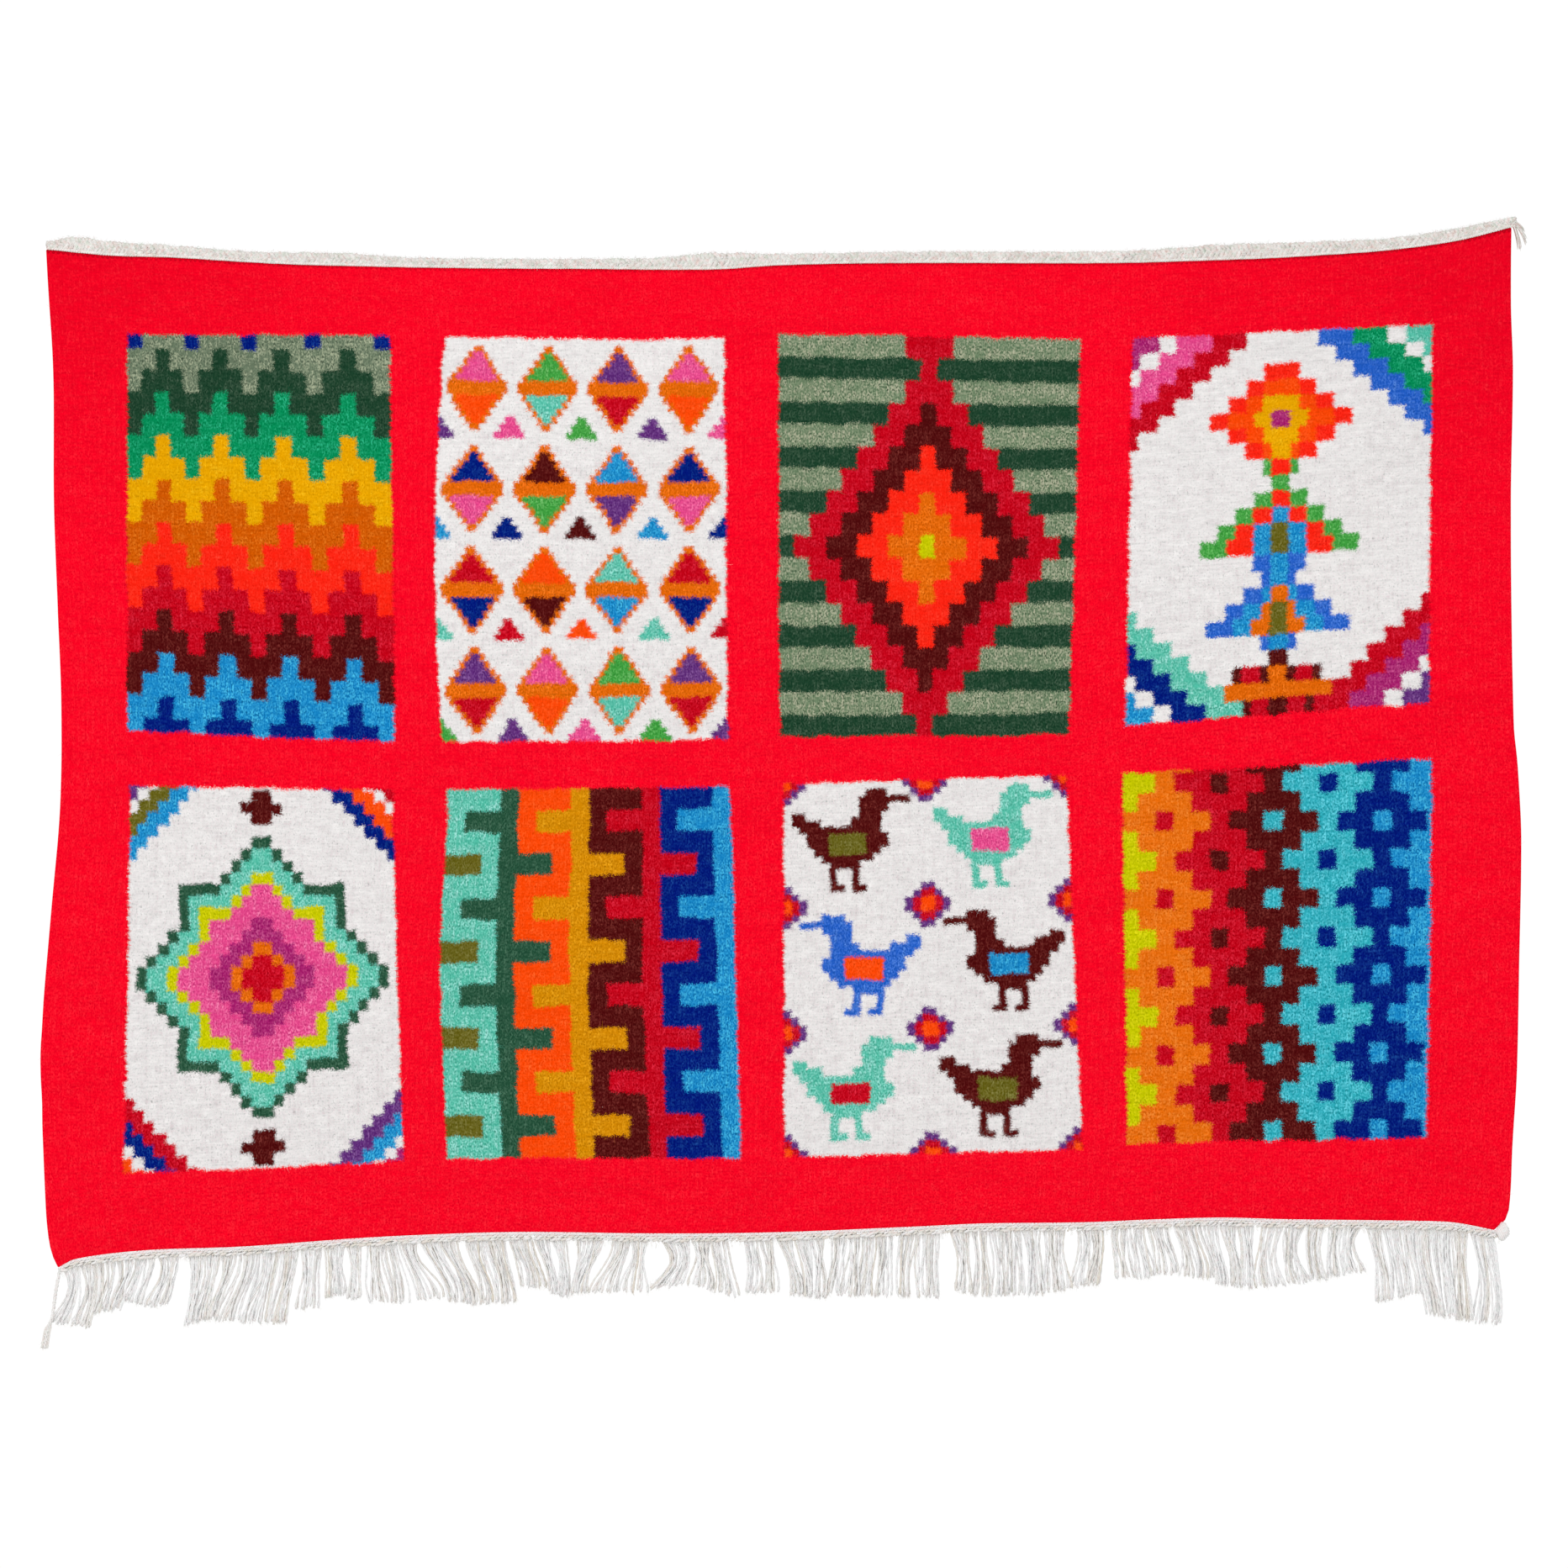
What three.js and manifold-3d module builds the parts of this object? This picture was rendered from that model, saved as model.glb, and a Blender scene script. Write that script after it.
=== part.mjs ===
// Kilim wall tapestry: a landscape sheet of weft-faced wool cloth with a plaited heading along
// its top edge and a knotted warp fringe along its foot, in the uneven shape in which it hangs.
// Millimetres, +Z up. The origin is the middle of the top edge, on the plane of the wall behind
// the cloth, and the woven front faces -Y.
import * as THREE from 'three';
import { mergeVertices } from 'three/addons/utils/BufferGeometryUtils.js';
import Module from 'manifold-3d';

const wasm = await Module();
wasm.setup();

// Driving sizes of the cloth and its two trims
const CLOTH_THICKNESS = 3;
const HEADING_THICKNESS = 5;
const KNOT_ROW_THICKNESS = 5;
const KNOT_ROW_HEIGHT = 5;
const SEAM_GAP = 0.35;
const TRIM_SHOULDER = 0.65;
const TRIM_SEAM_SHARE = 0.8;
const WARP_COLUMNS = 34;
const WEFT_ROWS = 23;
const FOOT_ROW_CROWDING = 1.3;

// How far the middle of the cloth stands in front of the wall
const TOP_STAND_OFF = 3.2;
const BELLY_STAND_OFF = 5.5;
const BELLY_STARTS_BELOW = 10;
const BELLY_FULL_BELOW = 220;
const FOOT_FLARE = 5;
const FLARE_STARTS_BELOW = 500;
const FLARE_FULL_BELOW = 830;

// Heading stitches and foot knots, and how far each trim runs past the field's right corner
const STITCH_LENGTH = 15;
const STITCH_RAISE = 0.7;
const HEADING_PAST_CORNER = 4;
const KNOT_PITCH = 22;
const KNOT_RAISE = 0.5;
const KNOTS_PAST_CORNER = 4;

// Fringe strands: each is one lock of twisted warp ends
const STRAND_PITCH = 4.4;
const STRAND_RADIUS = 1.65;
const STRAND_TIP_RADIUS = 1.4;
const STRAND_SIDES = 3;
const STRAND_STEPS = 3;
const STRAND_ROOT_DEPTH = 2.2;
const LAYER_SHIFT = 1.2;
const TIP_LEAN = 1.5;
const LEAN_CHANGE = 2.1;
const STAGGER = 1.6;
const STAGGER_CHANGE = 2.4;
const TUFT_TIP_RADIUS = 0.7;
const TUFT_ROOT_RADIUS = 1.5;
const TUFT_SPREAD = 1;

// Top edge of the woven field, from the left corner to the right one
const TOP_EDGE = [
  { x: -599, z: 3 },
  { x: -547, z: -2 },
  { x: -492, z: -4 },
  { x: -437, z: -7.5 },
  { x: -382, z: -10 },
  { x: -272, z: -12 },
  { x: -163, z: -13 },
  { x: -53, z: -13.5 },
  { x: 2, z: -10 },
  { x: 112, z: -8 },
  { x: 276, z: -8 },
  { x: 386, z: -5 },
  { x: 441, z: -2 },
  { x: 496, z: 2 },
  { x: 551, z: 9.5 },
  { x: 598, z: 21 },
];

// Upper edge of the heading
const HEADING_EDGE = [
  { x: -597, z: 10 },
  { x: -574, z: 13.5 },
  { x: -547, z: 10 },
  { x: -492, z: 6 },
  { x: -437, z: 1.5 },
  { x: -355, z: 0 },
  { x: -300, z: -3.5 },
  { x: -108, z: -4 },
  { x: -53, z: 0.5 },
  { x: 2, z: -0.5 },
  { x: 112, z: 1.5 },
  { x: 249, z: 1.5 },
  { x: 304, z: 3 },
  { x: 359, z: 7 },
  { x: 441, z: 9.5 },
  { x: 496, z: 12 },
  { x: 551, z: 20 },
  { x: 597, z: 29.5 },
];

// Foot of the woven field
const BOTTOM_EDGE = [
  { x: -588, z: -828 },
  { x: -574, z: -821 },
  { x: -519, z: -814 },
  { x: -437, z: -810.5 },
  { x: -327, z: -803 },
  { x: -217, z: -799 },
  { x: -108, z: -800 },
  { x: 2, z: -799 },
  { x: 112, z: -794.5 },
  { x: 167, z: -792 },
  { x: 249, z: -791 },
  { x: 304, z: -788.5 },
  { x: 359, z: -787 },
  { x: 413, z: -788.5 },
  { x: 523, z: -790 },
  { x: 551, z: -791.5 },
  { x: 583, z: -797.5 },
];

// Selvages, from the top down
const LEFT_SELVAGE = [
  { z: 3, x: -599 },
  { z: -96, x: -593 },
  { z: -206, x: -592 },
  { z: -288, x: -589 },
  { z: -370, x: -586 },
  { z: -453, x: -587 },
  { z: -535, x: -594 },
  { z: -645, x: -602.5 },
  { z: -699, x: -601.5 },
  { z: -809, x: -596 },
  { z: -828, x: -588 },
];
const RIGHT_SELVAGE = [
  { z: 21, x: 598 },
  { z: -41, x: 597 },
  { z: -96, x: 599 },
  { z: -206, x: 597 },
  { z: -370, x: 599 },
  { z: -425, x: 603 },
  { z: -480, x: 605.5 },
  { z: -590, x: 603.5 },
  { z: -672, x: 601.5 },
  { z: -727, x: 598 },
  { z: -782, x: 594 },
  { z: -797.5, x: 583 },
];

// Soft folds: a ridge (positive lift) or a trough along a line from one point [x, z] to another,
// fading out past its ends and its width
const FOLDS = [
  { what: 'drag from the upper left corner', from: [-585, -40], to: [-455, -165], width: 34, lift: 4.5 },
  { what: 'slack beside the left corner', from: [-500, 0], to: [-350, -20], width: 30, lift: 3.5 },
  { what: 'drag from the upper right corner', from: [590, -35], to: [440, -190], width: 38, lift: 6 },
  { what: 'slack beside the right corner', from: [330, -5], to: [520, 5], width: 30, lift: 3.5 },
  { what: 'slack in the middle of the top', from: [-150, -10], to: [60, -10], width: 40, lift: 2.5 },
  { what: 'left belly', from: [-330, -330], to: [-290, -560], width: 120, lift: 3 },
  { what: 'hollow between the panels', from: [-90, -260], to: [-60, -640], width: 60, lift: -2.5 },
  { what: 'right belly', from: [260, -300], to: [300, -560], width: 110, lift: 3.5 },
  { what: 'pucker on the right selvage', from: [606, -392], to: [550, -388], width: 14, lift: -4 },
  { what: 'upper pucker on the left selvage', from: [-604, -631], to: [-565, -628], width: 13, lift: -3 },
  { what: 'lower pucker on the left selvage', from: [-604, -693], to: [-560, -690], width: 13, lift: -3 },
  { what: 'left wave of the foot', from: [-440, -830], to: [-410, -620], width: 55, lift: 4 },
  { what: 'middle wave of the foot', from: [-60, -800], to: [-90, -660], width: 50, lift: 3 },
  { what: 'right wave of the foot', from: [330, -790], to: [300, -620], width: 60, lift: 4 },
  { what: 'right corner of the foot', from: [575, -790], to: [540, -690], width: 40, lift: -3.5 },
];

// Bunches of the fringe, each size given as [at the bunch's left strand, at its right strand]:
// x where the strand leaves the knot row, x of its tip, z of its tip, bow of its middle to +X
const BUNCHES = [
  { root: [-584, -558], tip: [-592, -563], low: [-873, -877], bow: [6, 5] },
  { root: [-557, -527], tip: [-560, -539], low: [-866, -862], bow: [4, 3] },
  { root: [-526, -509], tip: [-536, -519], low: [-856, -858], bow: [2, 3] },
  { root: [-507, -490], tip: [-517, -499], low: [-861, -858], bow: [3, 4] },
  { root: [-482, -442], tip: [-484, -460], low: [-875, -868], bow: [2, 2] },
  { root: [-441, -407], tip: [-457, -419], low: [-871, -874], bow: [2, 2] },
  { root: [-406, -392], tip: [-416, -401], low: [-874, -874], bow: [1, 1] },
  { root: [-390, -373], tip: [-393, -377], low: [-862, -861], bow: [0, 1] },
  { root: [-371, -354], tip: [-370, -355], low: [-852, -850], bow: [0, 0] },
  { root: [-353, -340], tip: [-352, -341], low: [-853, -854], bow: [1, 1] },
  { root: [-335, -312], tip: [-332, -303], low: [-856, -858], bow: [-3, 2] },
  { root: [-310, -295], tip: [-294, -275], low: [-854, -853], bow: [-2, 0] },
  { root: [-293, -262], tip: [-270, -245], low: [-856, -858], bow: [1, 2] },
  { root: [-256, -224], tip: [-243, -216], low: [-858, -857], bow: [1, 1] },
  { root: [-221, -202], tip: [-211, -191], low: [-844, -845], bow: [1, 1] },
  { root: [-200, -174], tip: [-188, -173], low: [-848, -852], bow: [2, 3] },
  { root: [-165, -143], tip: [-170, -157], low: [-850, -848], bow: [1, -1] },
  { root: [-136, -107], tip: [-153, -109], low: [-848, -848], bow: [2, 0] },
  { root: [-98, -74], tip: [-106, -78], low: [-846, -841], bow: [12, 4] },
  { root: [-72, -42], tip: [-70, -36], low: [-842, -852], bow: [2, 1] },
  { root: [-29, -5], tip: [-28, -3], low: [-849, -848], bow: [2, 2] },
  { root: [-3, 37], tip: [11, 36], low: [-850, -853], bow: [2, 1] },
  { root: [42, 92], tip: [39, 88], low: [-850, -852], bow: [1, 1] },
  { root: [98, 130], tip: [95, 130], low: [-851, -853], bow: [-2, 1] },
  { root: [139, 155], tip: [143, 158], low: [-846, -850], bow: [3, 1] },
  { root: [156, 211], tip: [159, 212], low: [-851, -850], bow: [1, 1] },
  { root: [213, 234], tip: [214, 236], low: [-848, -846], bow: [1, -2] },
  { root: [243, 264], tip: [238, 260], low: [-845, -841], bow: [3, 3] },
  { root: [271, 298], tip: [274, 305], low: [-837, -836], bow: [-1, 0] },
  { root: [299, 317], tip: [307, 325], low: [-834, -833], bow: [0, 1] },
  { root: [321, 343], tip: [328, 354], low: [-835, -838], bow: [1, 1] },
  { root: [345, 387], tip: [357, 387], low: [-842, -845], bow: [1, 0] },
  { root: [394, 411], tip: [391, 413], low: [-844, -843], bow: [-5, -4] },
  { root: [413, 429], tip: [415, 432], low: [-842, -840], bow: [-5, -4] },
  { root: [431, 445], tip: [433, 447], low: [-838, -838], bow: [-4, -4] },
  { root: [448, 460], tip: [448, 459], low: [-836, -834], bow: [-2, -2] },
  { root: [461, 476], tip: [461, 476], low: [-833, -831], bow: [-4, -5] },
  { root: [478, 517], tip: [487, 524], low: [-857, -849], bow: [2, 0] },
  { root: [518, 562], tip: [531, 564], low: [-866, -872], bow: [-3, 0] },
  { root: [563, 582], tip: [567, 587], low: [-873, -875], bow: [2, 6] },
];

// The single long warp end at the left corner
const LONE_END = [
  { x: -586.5, z: -829 },
  { x: -590, z: -848 },
  { x: -592.5, z: -868 },
  { x: -597, z: -880 },
  { x: -599, z: -894 },
];

// Knot of spare yarn beside the field's lower right corner
const CORNER_KNOT = { x: 591.5, z: -800.5, radius: 6.5 };

// Loose yarn ends at the right end of the heading, each from its root to its tip
const CORNER_TUFT = [
  { rootX: 598, rootZ: 28, tipX: 612, tipZ: 21 },
  { rootX: 599, rootZ: 27, tipX: 611, tipZ: 10 },
  { rootX: 600, rootZ: 25, tipX: 606.5, tipZ: 2 },
];

// Smooth value of a table of rows at a place between them, or at its nearest end
function smoothAt(rows, key, value, at) {
  const last = rows.length - 1;
  const downwards = rows[last][key] < rows[0][key];
  const isPast = (row) => (downwards ? at < row[key] : at > row[key]);
  let index = 0;
  while (index < last - 1 && isPast(rows[index + 1])) index += 1;
  const slopeAt = (i) => {
    const before = rows[Math.max(i - 1, 0)];
    const after = rows[Math.min(i + 1, last)];
    return (after[value] - before[value]) / (after[key] - before[key]);
  };
  const start = rows[index];
  const end = rows[index + 1];
  const span = end[key] - start[key];
  const t = THREE.MathUtils.clamp((at - start[key]) / span, 0, 1);
  const t2 = t * t;
  const t3 = t2 * t;
  return start[value] * (2 * t3 - 3 * t2 + 1)
    + slopeAt(index) * span * (t3 - 2 * t2 + t)
    + end[value] * (3 * t2 - 2 * t3)
    + slopeAt(index + 1) * span * (t3 - t2);
}

// Depth of one fold at a point of the cloth
function foldLift(fold, x, z) {
  const line = new THREE.Line3(new THREE.Vector3(...fold.from), new THREE.Vector3(...fold.to));
  const point = new THREE.Vector3(x, z, 0);
  const away = line.closestPointToPoint(point, true, new THREE.Vector3()).distanceTo(point);
  return fold.lift * Math.exp(-((away / fold.width) ** 2));
}

// Distance of the middle of the cloth in front of the wall
function standOff(x, z) {
  const belly = THREE.MathUtils.smoothstep(-z, BELLY_STARTS_BELOW, BELLY_FULL_BELOW);
  const flare = THREE.MathUtils.smoothstep(-z, FLARE_STARTS_BELOW, FLARE_FULL_BELOW);
  const folds = FOLDS.reduce((sum, fold) => sum + foldLift(fold, x, z), 0);
  return TOP_STAND_OFF + BELLY_STAND_OFF * belly + FOOT_FLARE * flare + folds;
}

// Height of the top or bottom edge of the field as it is cut in straight columns
function edgeHeight(edge, x) {
  const first = edge[0].x;
  const columnWidth = (edge[edge.length - 1].x - first) / WARP_COLUMNS;
  const column = THREE.MathUtils.clamp(Math.floor((x - first) / columnWidth), 0, WARP_COLUMNS - 1);
  const left = first + column * columnWidth;
  const right = left + columnWidth;
  return THREE.MathUtils.mapLinear(
    x, left, right, smoothAt(edge, 'x', 'z', left), smoothAt(edge, 'x', 'z', right));
}

// Point of the field at u across (0 to 1) and v down (0 to 1), blended from its four edges
function fieldPoint(u, v) {
  const lerp = THREE.MathUtils.lerp;
  const topX = lerp(TOP_EDGE[0].x, TOP_EDGE[TOP_EDGE.length - 1].x, u);
  const bottomX = lerp(BOTTOM_EDGE[0].x, BOTTOM_EDGE[BOTTOM_EDGE.length - 1].x, u);
  const topZ = smoothAt(TOP_EDGE, 'x', 'z', topX);
  const bottomZ = smoothAt(BOTTOM_EDGE, 'x', 'z', bottomX);
  const leftZ = lerp(LEFT_SELVAGE[0].z, LEFT_SELVAGE[LEFT_SELVAGE.length - 1].z, v);
  const rightZ = lerp(RIGHT_SELVAGE[0].z, RIGHT_SELVAGE[RIGHT_SELVAGE.length - 1].z, v);
  const leftX = smoothAt(LEFT_SELVAGE, 'z', 'x', leftZ);
  const rightX = smoothAt(RIGHT_SELVAGE, 'z', 'x', rightZ);
  const straightLeft = lerp(TOP_EDGE[0].x, BOTTOM_EDGE[0].x, v);
  const straightRight = lerp(TOP_EDGE[TOP_EDGE.length - 1].x, BOTTOM_EDGE[BOTTOM_EDGE.length - 1].x, v);
  const x = lerp(topX, bottomX, v) + lerp(leftX - straightLeft, rightX - straightRight, u);
  const z = lerp(topZ, bottomZ, v);
  return new THREE.Vector2(x, z);
}

// Closed body through a row of rings with the same number of points, zipped shut at both ends
function loft(rings) {
  const count = rings[0].length;
  const positions = rings.flat().flatMap((point) => [point.x, point.y, point.z]);
  const faces = [];
  for (let ring = 0; ring < rings.length - 1; ring += 1) {
    for (let side = 0; side < count; side += 1) {
      const a = ring * count + side;
      const b = ring * count + ((side + 1) % count);
      faces.push(a, b, b + count, a, b + count, a + count);
    }
  }
  const zip = (offset, flipped) => {
    let low = 0;
    let high = count - 1;
    while (low + 1 < high) {
      const first = [offset + low, offset + low + 1, offset + high];
      faces.push(...(flipped ? first : first.reverse()));
      low += 1;
      if (low + 1 < high) {
        const second = [offset + low, offset + high - 1, offset + high];
        faces.push(...(flipped ? second : second.reverse()));
      }
      high -= 1;
    }
  };
  zip(0, false);
  zip((rings.length - 1) * count, true);
  const geometry = new THREE.BufferGeometry();
  geometry.setAttribute('position', new THREE.Float32BufferAttribute(positions, 3));
  geometry.setIndex(signedVolume(positions, faces) < 0 ? faces.reverse() : faces);
  return geometry;
}

// Volume inside a list of faces, negative where they point inwards
function signedVolume(positions, faces) {
  const corner = (index) => new THREE.Vector3().fromArray(positions, index * 3);
  let volume = 0;
  for (let face = 0; face < faces.length; face += 3) {
    const [a, b, c] = [corner(faces[face]), corner(faces[face + 1]), corner(faces[face + 2])];
    volume += a.dot(b.cross(c)) / 6;
  }
  return volume;
}

// The woven field: each ring runs along one weft row on the front and back again behind it. The
// rows crowd towards the foot, where the corners are rounded.
function wovenField() {
  const rings = [];
  for (let row = 0; row <= WEFT_ROWS; row += 1) {
    const down = 1 - (1 - row / WEFT_ROWS) ** FOOT_ROW_CROWDING;
    const front = [];
    const back = [];
    for (let column = 0; column <= WARP_COLUMNS; column += 1) {
      const place = fieldPoint(column / WARP_COLUMNS, down);
      const middle = -standOff(place.x, place.y);
      front.push(new THREE.Vector3(place.x, middle - CLOTH_THICKNESS / 2, place.y));
      back.unshift(new THREE.Vector3(place.x, middle + CLOTH_THICKNESS / 2, place.y));
    }
    rings.push([...front, ...back]);
  }
  return loft(rings);
}

// Five-sided section of a trim that stands on its flat edge, with a rounded far side
function trimSection(x, seamZ, farZ, thickness) {
  const middle = -standOff(x, seamZ);
  const shoulderZ = THREE.MathUtils.lerp(seamZ, farZ, TRIM_SHOULDER);
  const half = thickness / 2;
  const seamHalf = half * TRIM_SEAM_SHARE;
  return [
    new THREE.Vector3(x, middle - seamHalf, seamZ),
    new THREE.Vector3(x, middle - half, shoulderZ),
    new THREE.Vector3(x, middle, farZ),
    new THREE.Vector3(x, middle + half, shoulderZ),
    new THREE.Vector3(x, middle + seamHalf, seamZ),
  ];
}

// Rings along a trim, every second one raised as a stitch or knot
function trimRings(fromX, toX, pitch, raise, section) {
  const steps = Math.round((2 * (toX - fromX)) / pitch);
  return Array.from({ length: steps + 1 }, (unused, step) => {
    const x = THREE.MathUtils.lerp(fromX, toX, step / steps);
    return section(x, step % 2 === 0 ? raise : -raise);
  });
}

// Three-sided ring around a point, at right angles to the plane of its two directions
function ringAround(centre, radius, right, forward, turn) {
  return Array.from({ length: STRAND_SIDES }, (unused, side) => {
    const angle = turn + (2 * Math.PI * side) / STRAND_SIDES;
    const point = centre.clone().addScaledVector(right, radius * Math.cos(angle));
    return point.addScaledVector(forward, radius * Math.sin(angle));
  });
}

// Hanging strand with level rings through a row of points, narrower at its tip
function strand(points, turn) {
  const right = new THREE.Vector3(1, 0, 0);
  const forward = new THREE.Vector3(0, 1, 0);
  return loft(points.map((point, index) => {
    const radius = THREE.MathUtils.lerp(STRAND_RADIUS, STRAND_TIP_RADIUS, index / (points.length - 1));
    return ringAround(point, radius, right, forward, turn);
  }));
}

// All strands of one bunch, from inside the knot row to their tips. They run in a front and a
// back layer by turns, so that neighbours hang clear of each other.
function bunchStrands(bunch, bunchIndex) {
  const lerp = THREE.MathUtils.lerp;
  const count = Math.round((bunch.root[1] - bunch.root[0]) / STRAND_PITCH);
  return Array.from({ length: count }, (unused, index) => {
    const across = (index + 0.5) / count;
    const rootX = lerp(...bunch.root, across);
    const tipX = lerp(...bunch.tip, across);
    const bow = lerp(...bunch.bow, across);
    const rootZ = edgeHeight(BOTTOM_EDGE, rootX) - SEAM_GAP - KNOT_ROW_HEIGHT + STRAND_ROOT_DEPTH;
    const tipZ = lerp(...bunch.low, across) + STAGGER * Math.sin(STAGGER_CHANGE * index + bunchIndex);
    const layer = (index + bunchIndex) % 2 === 0 ? -1 : 1;
    const rootY = -standOff(rootX, rootZ) + layer * LAYER_SHIFT;
    const lean = TIP_LEAN * Math.sin(LEAN_CHANGE * bunchIndex);
    const points = Array.from({ length: STRAND_STEPS + 1 }, (none, step) => {
      const t = step / STRAND_STEPS;
      const x = lerp(rootX, tipX, THREE.MathUtils.smoothstep(t, 0, 1)) + bow * Math.sin(Math.PI * t);
      return new THREE.Vector3(x, rootY + lean * t * t, lerp(rootZ, tipZ, t));
    });
    return strand(points, (layer * Math.PI) / 2);
  });
}

// Strand along a table of points that hangs in line with the cloth's foot
function loneStrand(rows) {
  const y = -standOff(rows[0].x, rows[0].z);
  return strand(rows.map((row) => new THREE.Vector3(row.x, y, row.z)), Math.PI / 2);
}

// Short loose end of the corner tuft
function tuftStrand(row, index) {
  const root = new THREE.Vector3(row.rootX, -standOff(row.rootX, row.rootZ), row.rootZ);
  const tip = new THREE.Vector3(row.tipX, root.y + TUFT_SPREAD * (index - 1), row.tipZ);
  const forward = new THREE.Vector3(0, 1, 0);
  const right = new THREE.Vector3().crossVectors(tip.clone().sub(root), forward).normalize();
  return loft([
    ringAround(root, TUFT_ROOT_RADIUS, right, forward, 0),
    ringAround(tip, TUFT_TIP_RADIUS, right, forward, 0),
  ]);
}

// The knot of yarn at the lower right corner, a faceted ball with merged corners
function cornerKnot() {
  const ball = new THREE.IcosahedronGeometry(CORNER_KNOT.radius, 1);
  ball.deleteAttribute('normal');
  ball.deleteAttribute('uv');
  const depth = -standOff(CORNER_KNOT.x, CORNER_KNOT.z);
  return mergeVertices(ball.translate(CORNER_KNOT.x, depth, CORNER_KNOT.z));
}

// Solid of a geometry
function toSolid(geometry) {
  const vertProperties = Float32Array.from(geometry.attributes.position.array);
  const triVerts = Uint32Array.from(geometry.index.array);
  return new wasm.Manifold(new wasm.Mesh({ numProp: 3, vertProperties, triVerts }));
}

// One geometry of a backing with everything that is rooted in it
function joined(backing, rooted) {
  const mesh = rooted.reduce((whole, piece) => whole.add(toSolid(piece)), toSolid(backing)).getMesh();
  const geometry = new THREE.BufferGeometry();
  geometry.setAttribute('position', new THREE.BufferAttribute(mesh.vertProperties, 3));
  geometry.setIndex(new THREE.BufferAttribute(mesh.triVerts, 1));
  return geometry;
}

// The plaited heading with the loose ends at its right corner
function topHeading() {
  const fromX = TOP_EDGE[0].x;
  const toX = TOP_EDGE[TOP_EDGE.length - 1].x + HEADING_PAST_CORNER;
  const rings = trimRings(fromX, toX, STITCH_LENGTH, STITCH_RAISE, (x, raise) => {
    const seamZ = edgeHeight(TOP_EDGE, x) + SEAM_GAP;
    const farZ = smoothAt(HEADING_EDGE, 'x', 'z', x) + raise;
    return trimSection(x, seamZ, farZ, HEADING_THICKNESS + raise);
  });
  return joined(loft(rings), CORNER_TUFT.map(tuftStrand));
}

// The knot row along the foot with every strand of the fringe
function bottomFringe() {
  const fromX = BOTTOM_EDGE[0].x;
  const toX = BOTTOM_EDGE[BOTTOM_EDGE.length - 1].x + KNOTS_PAST_CORNER;
  const rings = trimRings(fromX, toX, KNOT_PITCH, KNOT_RAISE, (x, raise) => {
    const seamZ = edgeHeight(BOTTOM_EDGE, x) - SEAM_GAP;
    return trimSection(x, seamZ, seamZ - KNOT_ROW_HEIGHT - raise, KNOT_ROW_THICKNESS + 2 * raise);
  });
  return joined(loft(rings), [...BUNCHES.flatMap(bunchStrands), loneStrand(LONE_END), cornerKnot()]);
}

// A named piece with its own finish
function piece(name, geometry, color, roughness) {
  const material = new THREE.MeshStandardMaterial({ color, roughness, metalness: 0 });
  const mesh = new THREE.Mesh(geometry, material);
  mesh.name = name;
  return mesh;
}

const group = new THREE.Group();
group.add(piece('woven_field', wovenField(), 0xe8082a, 0.95));
group.add(piece('top_heading', topHeading(), 0xd9d4c8, 0.95));
group.add(piece('bottom_fringe', bottomFringe(), 0xe4e1d8, 0.9));

export default group;
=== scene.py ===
"""Kilim wall tapestry: red weft-faced wool cloth with eight panels, plaited heading and fringe."""
import logging
import math
from dataclasses import dataclass, field
from enum import Enum
from typing import Sequence, Union

import bmesh
import bpy
import numpy as np
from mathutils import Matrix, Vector


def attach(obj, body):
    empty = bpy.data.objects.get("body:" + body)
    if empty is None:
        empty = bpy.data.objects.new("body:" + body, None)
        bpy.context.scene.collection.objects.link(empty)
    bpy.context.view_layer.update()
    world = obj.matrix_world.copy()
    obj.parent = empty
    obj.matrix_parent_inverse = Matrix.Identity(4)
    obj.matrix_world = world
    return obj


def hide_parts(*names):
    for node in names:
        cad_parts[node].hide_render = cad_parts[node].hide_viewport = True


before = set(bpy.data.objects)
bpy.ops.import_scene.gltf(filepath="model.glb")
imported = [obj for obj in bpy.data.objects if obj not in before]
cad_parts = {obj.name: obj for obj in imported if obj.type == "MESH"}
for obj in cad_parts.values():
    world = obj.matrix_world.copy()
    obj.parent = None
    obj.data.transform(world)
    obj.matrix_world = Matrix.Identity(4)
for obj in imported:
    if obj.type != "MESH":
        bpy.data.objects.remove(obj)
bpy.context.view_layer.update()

log = logging.getLogger("kilim")

# Sizes below are millimetres in the part's frame, and meshes are made in metres
MM = 0.001
Rows = Sequence[tuple[float, float]]
Colour = tuple[float, float, float]

# Outline of the woven field and the upper edge of its heading, each row (x, z)
TOP_EDGE: Rows = (
    (-599, 3), (-547, -2), (-492, -4), (-437, -7.5), (-382, -10), (-272, -12), (-163, -13),
    (-53, -13.5), (2, -10), (112, -8), (276, -8), (386, -5), (441, -2), (496, 2), (551, 9.5),
    (598, 21),
)
HEADING_EDGE: Rows = (
    (-597, 10), (-574, 13.5), (-547, 10), (-492, 6), (-437, 1.5), (-355, 0), (-300, -3.5),
    (-108, -4), (-53, 0.5), (2, -0.5), (112, 1.5), (249, 1.5), (304, 3), (359, 7), (441, 9.5),
    (496, 12), (551, 20), (597, 29.5),
)
BOTTOM_EDGE: Rows = (
    (-588, -828), (-574, -821), (-519, -814), (-437, -810.5), (-327, -803), (-217, -799),
    (-108, -800), (2, -799), (112, -794.5), (167, -792), (249, -791), (304, -788.5),
    (359, -787), (413, -788.5), (523, -790), (551, -791.5), (583, -797.5),
)

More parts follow.
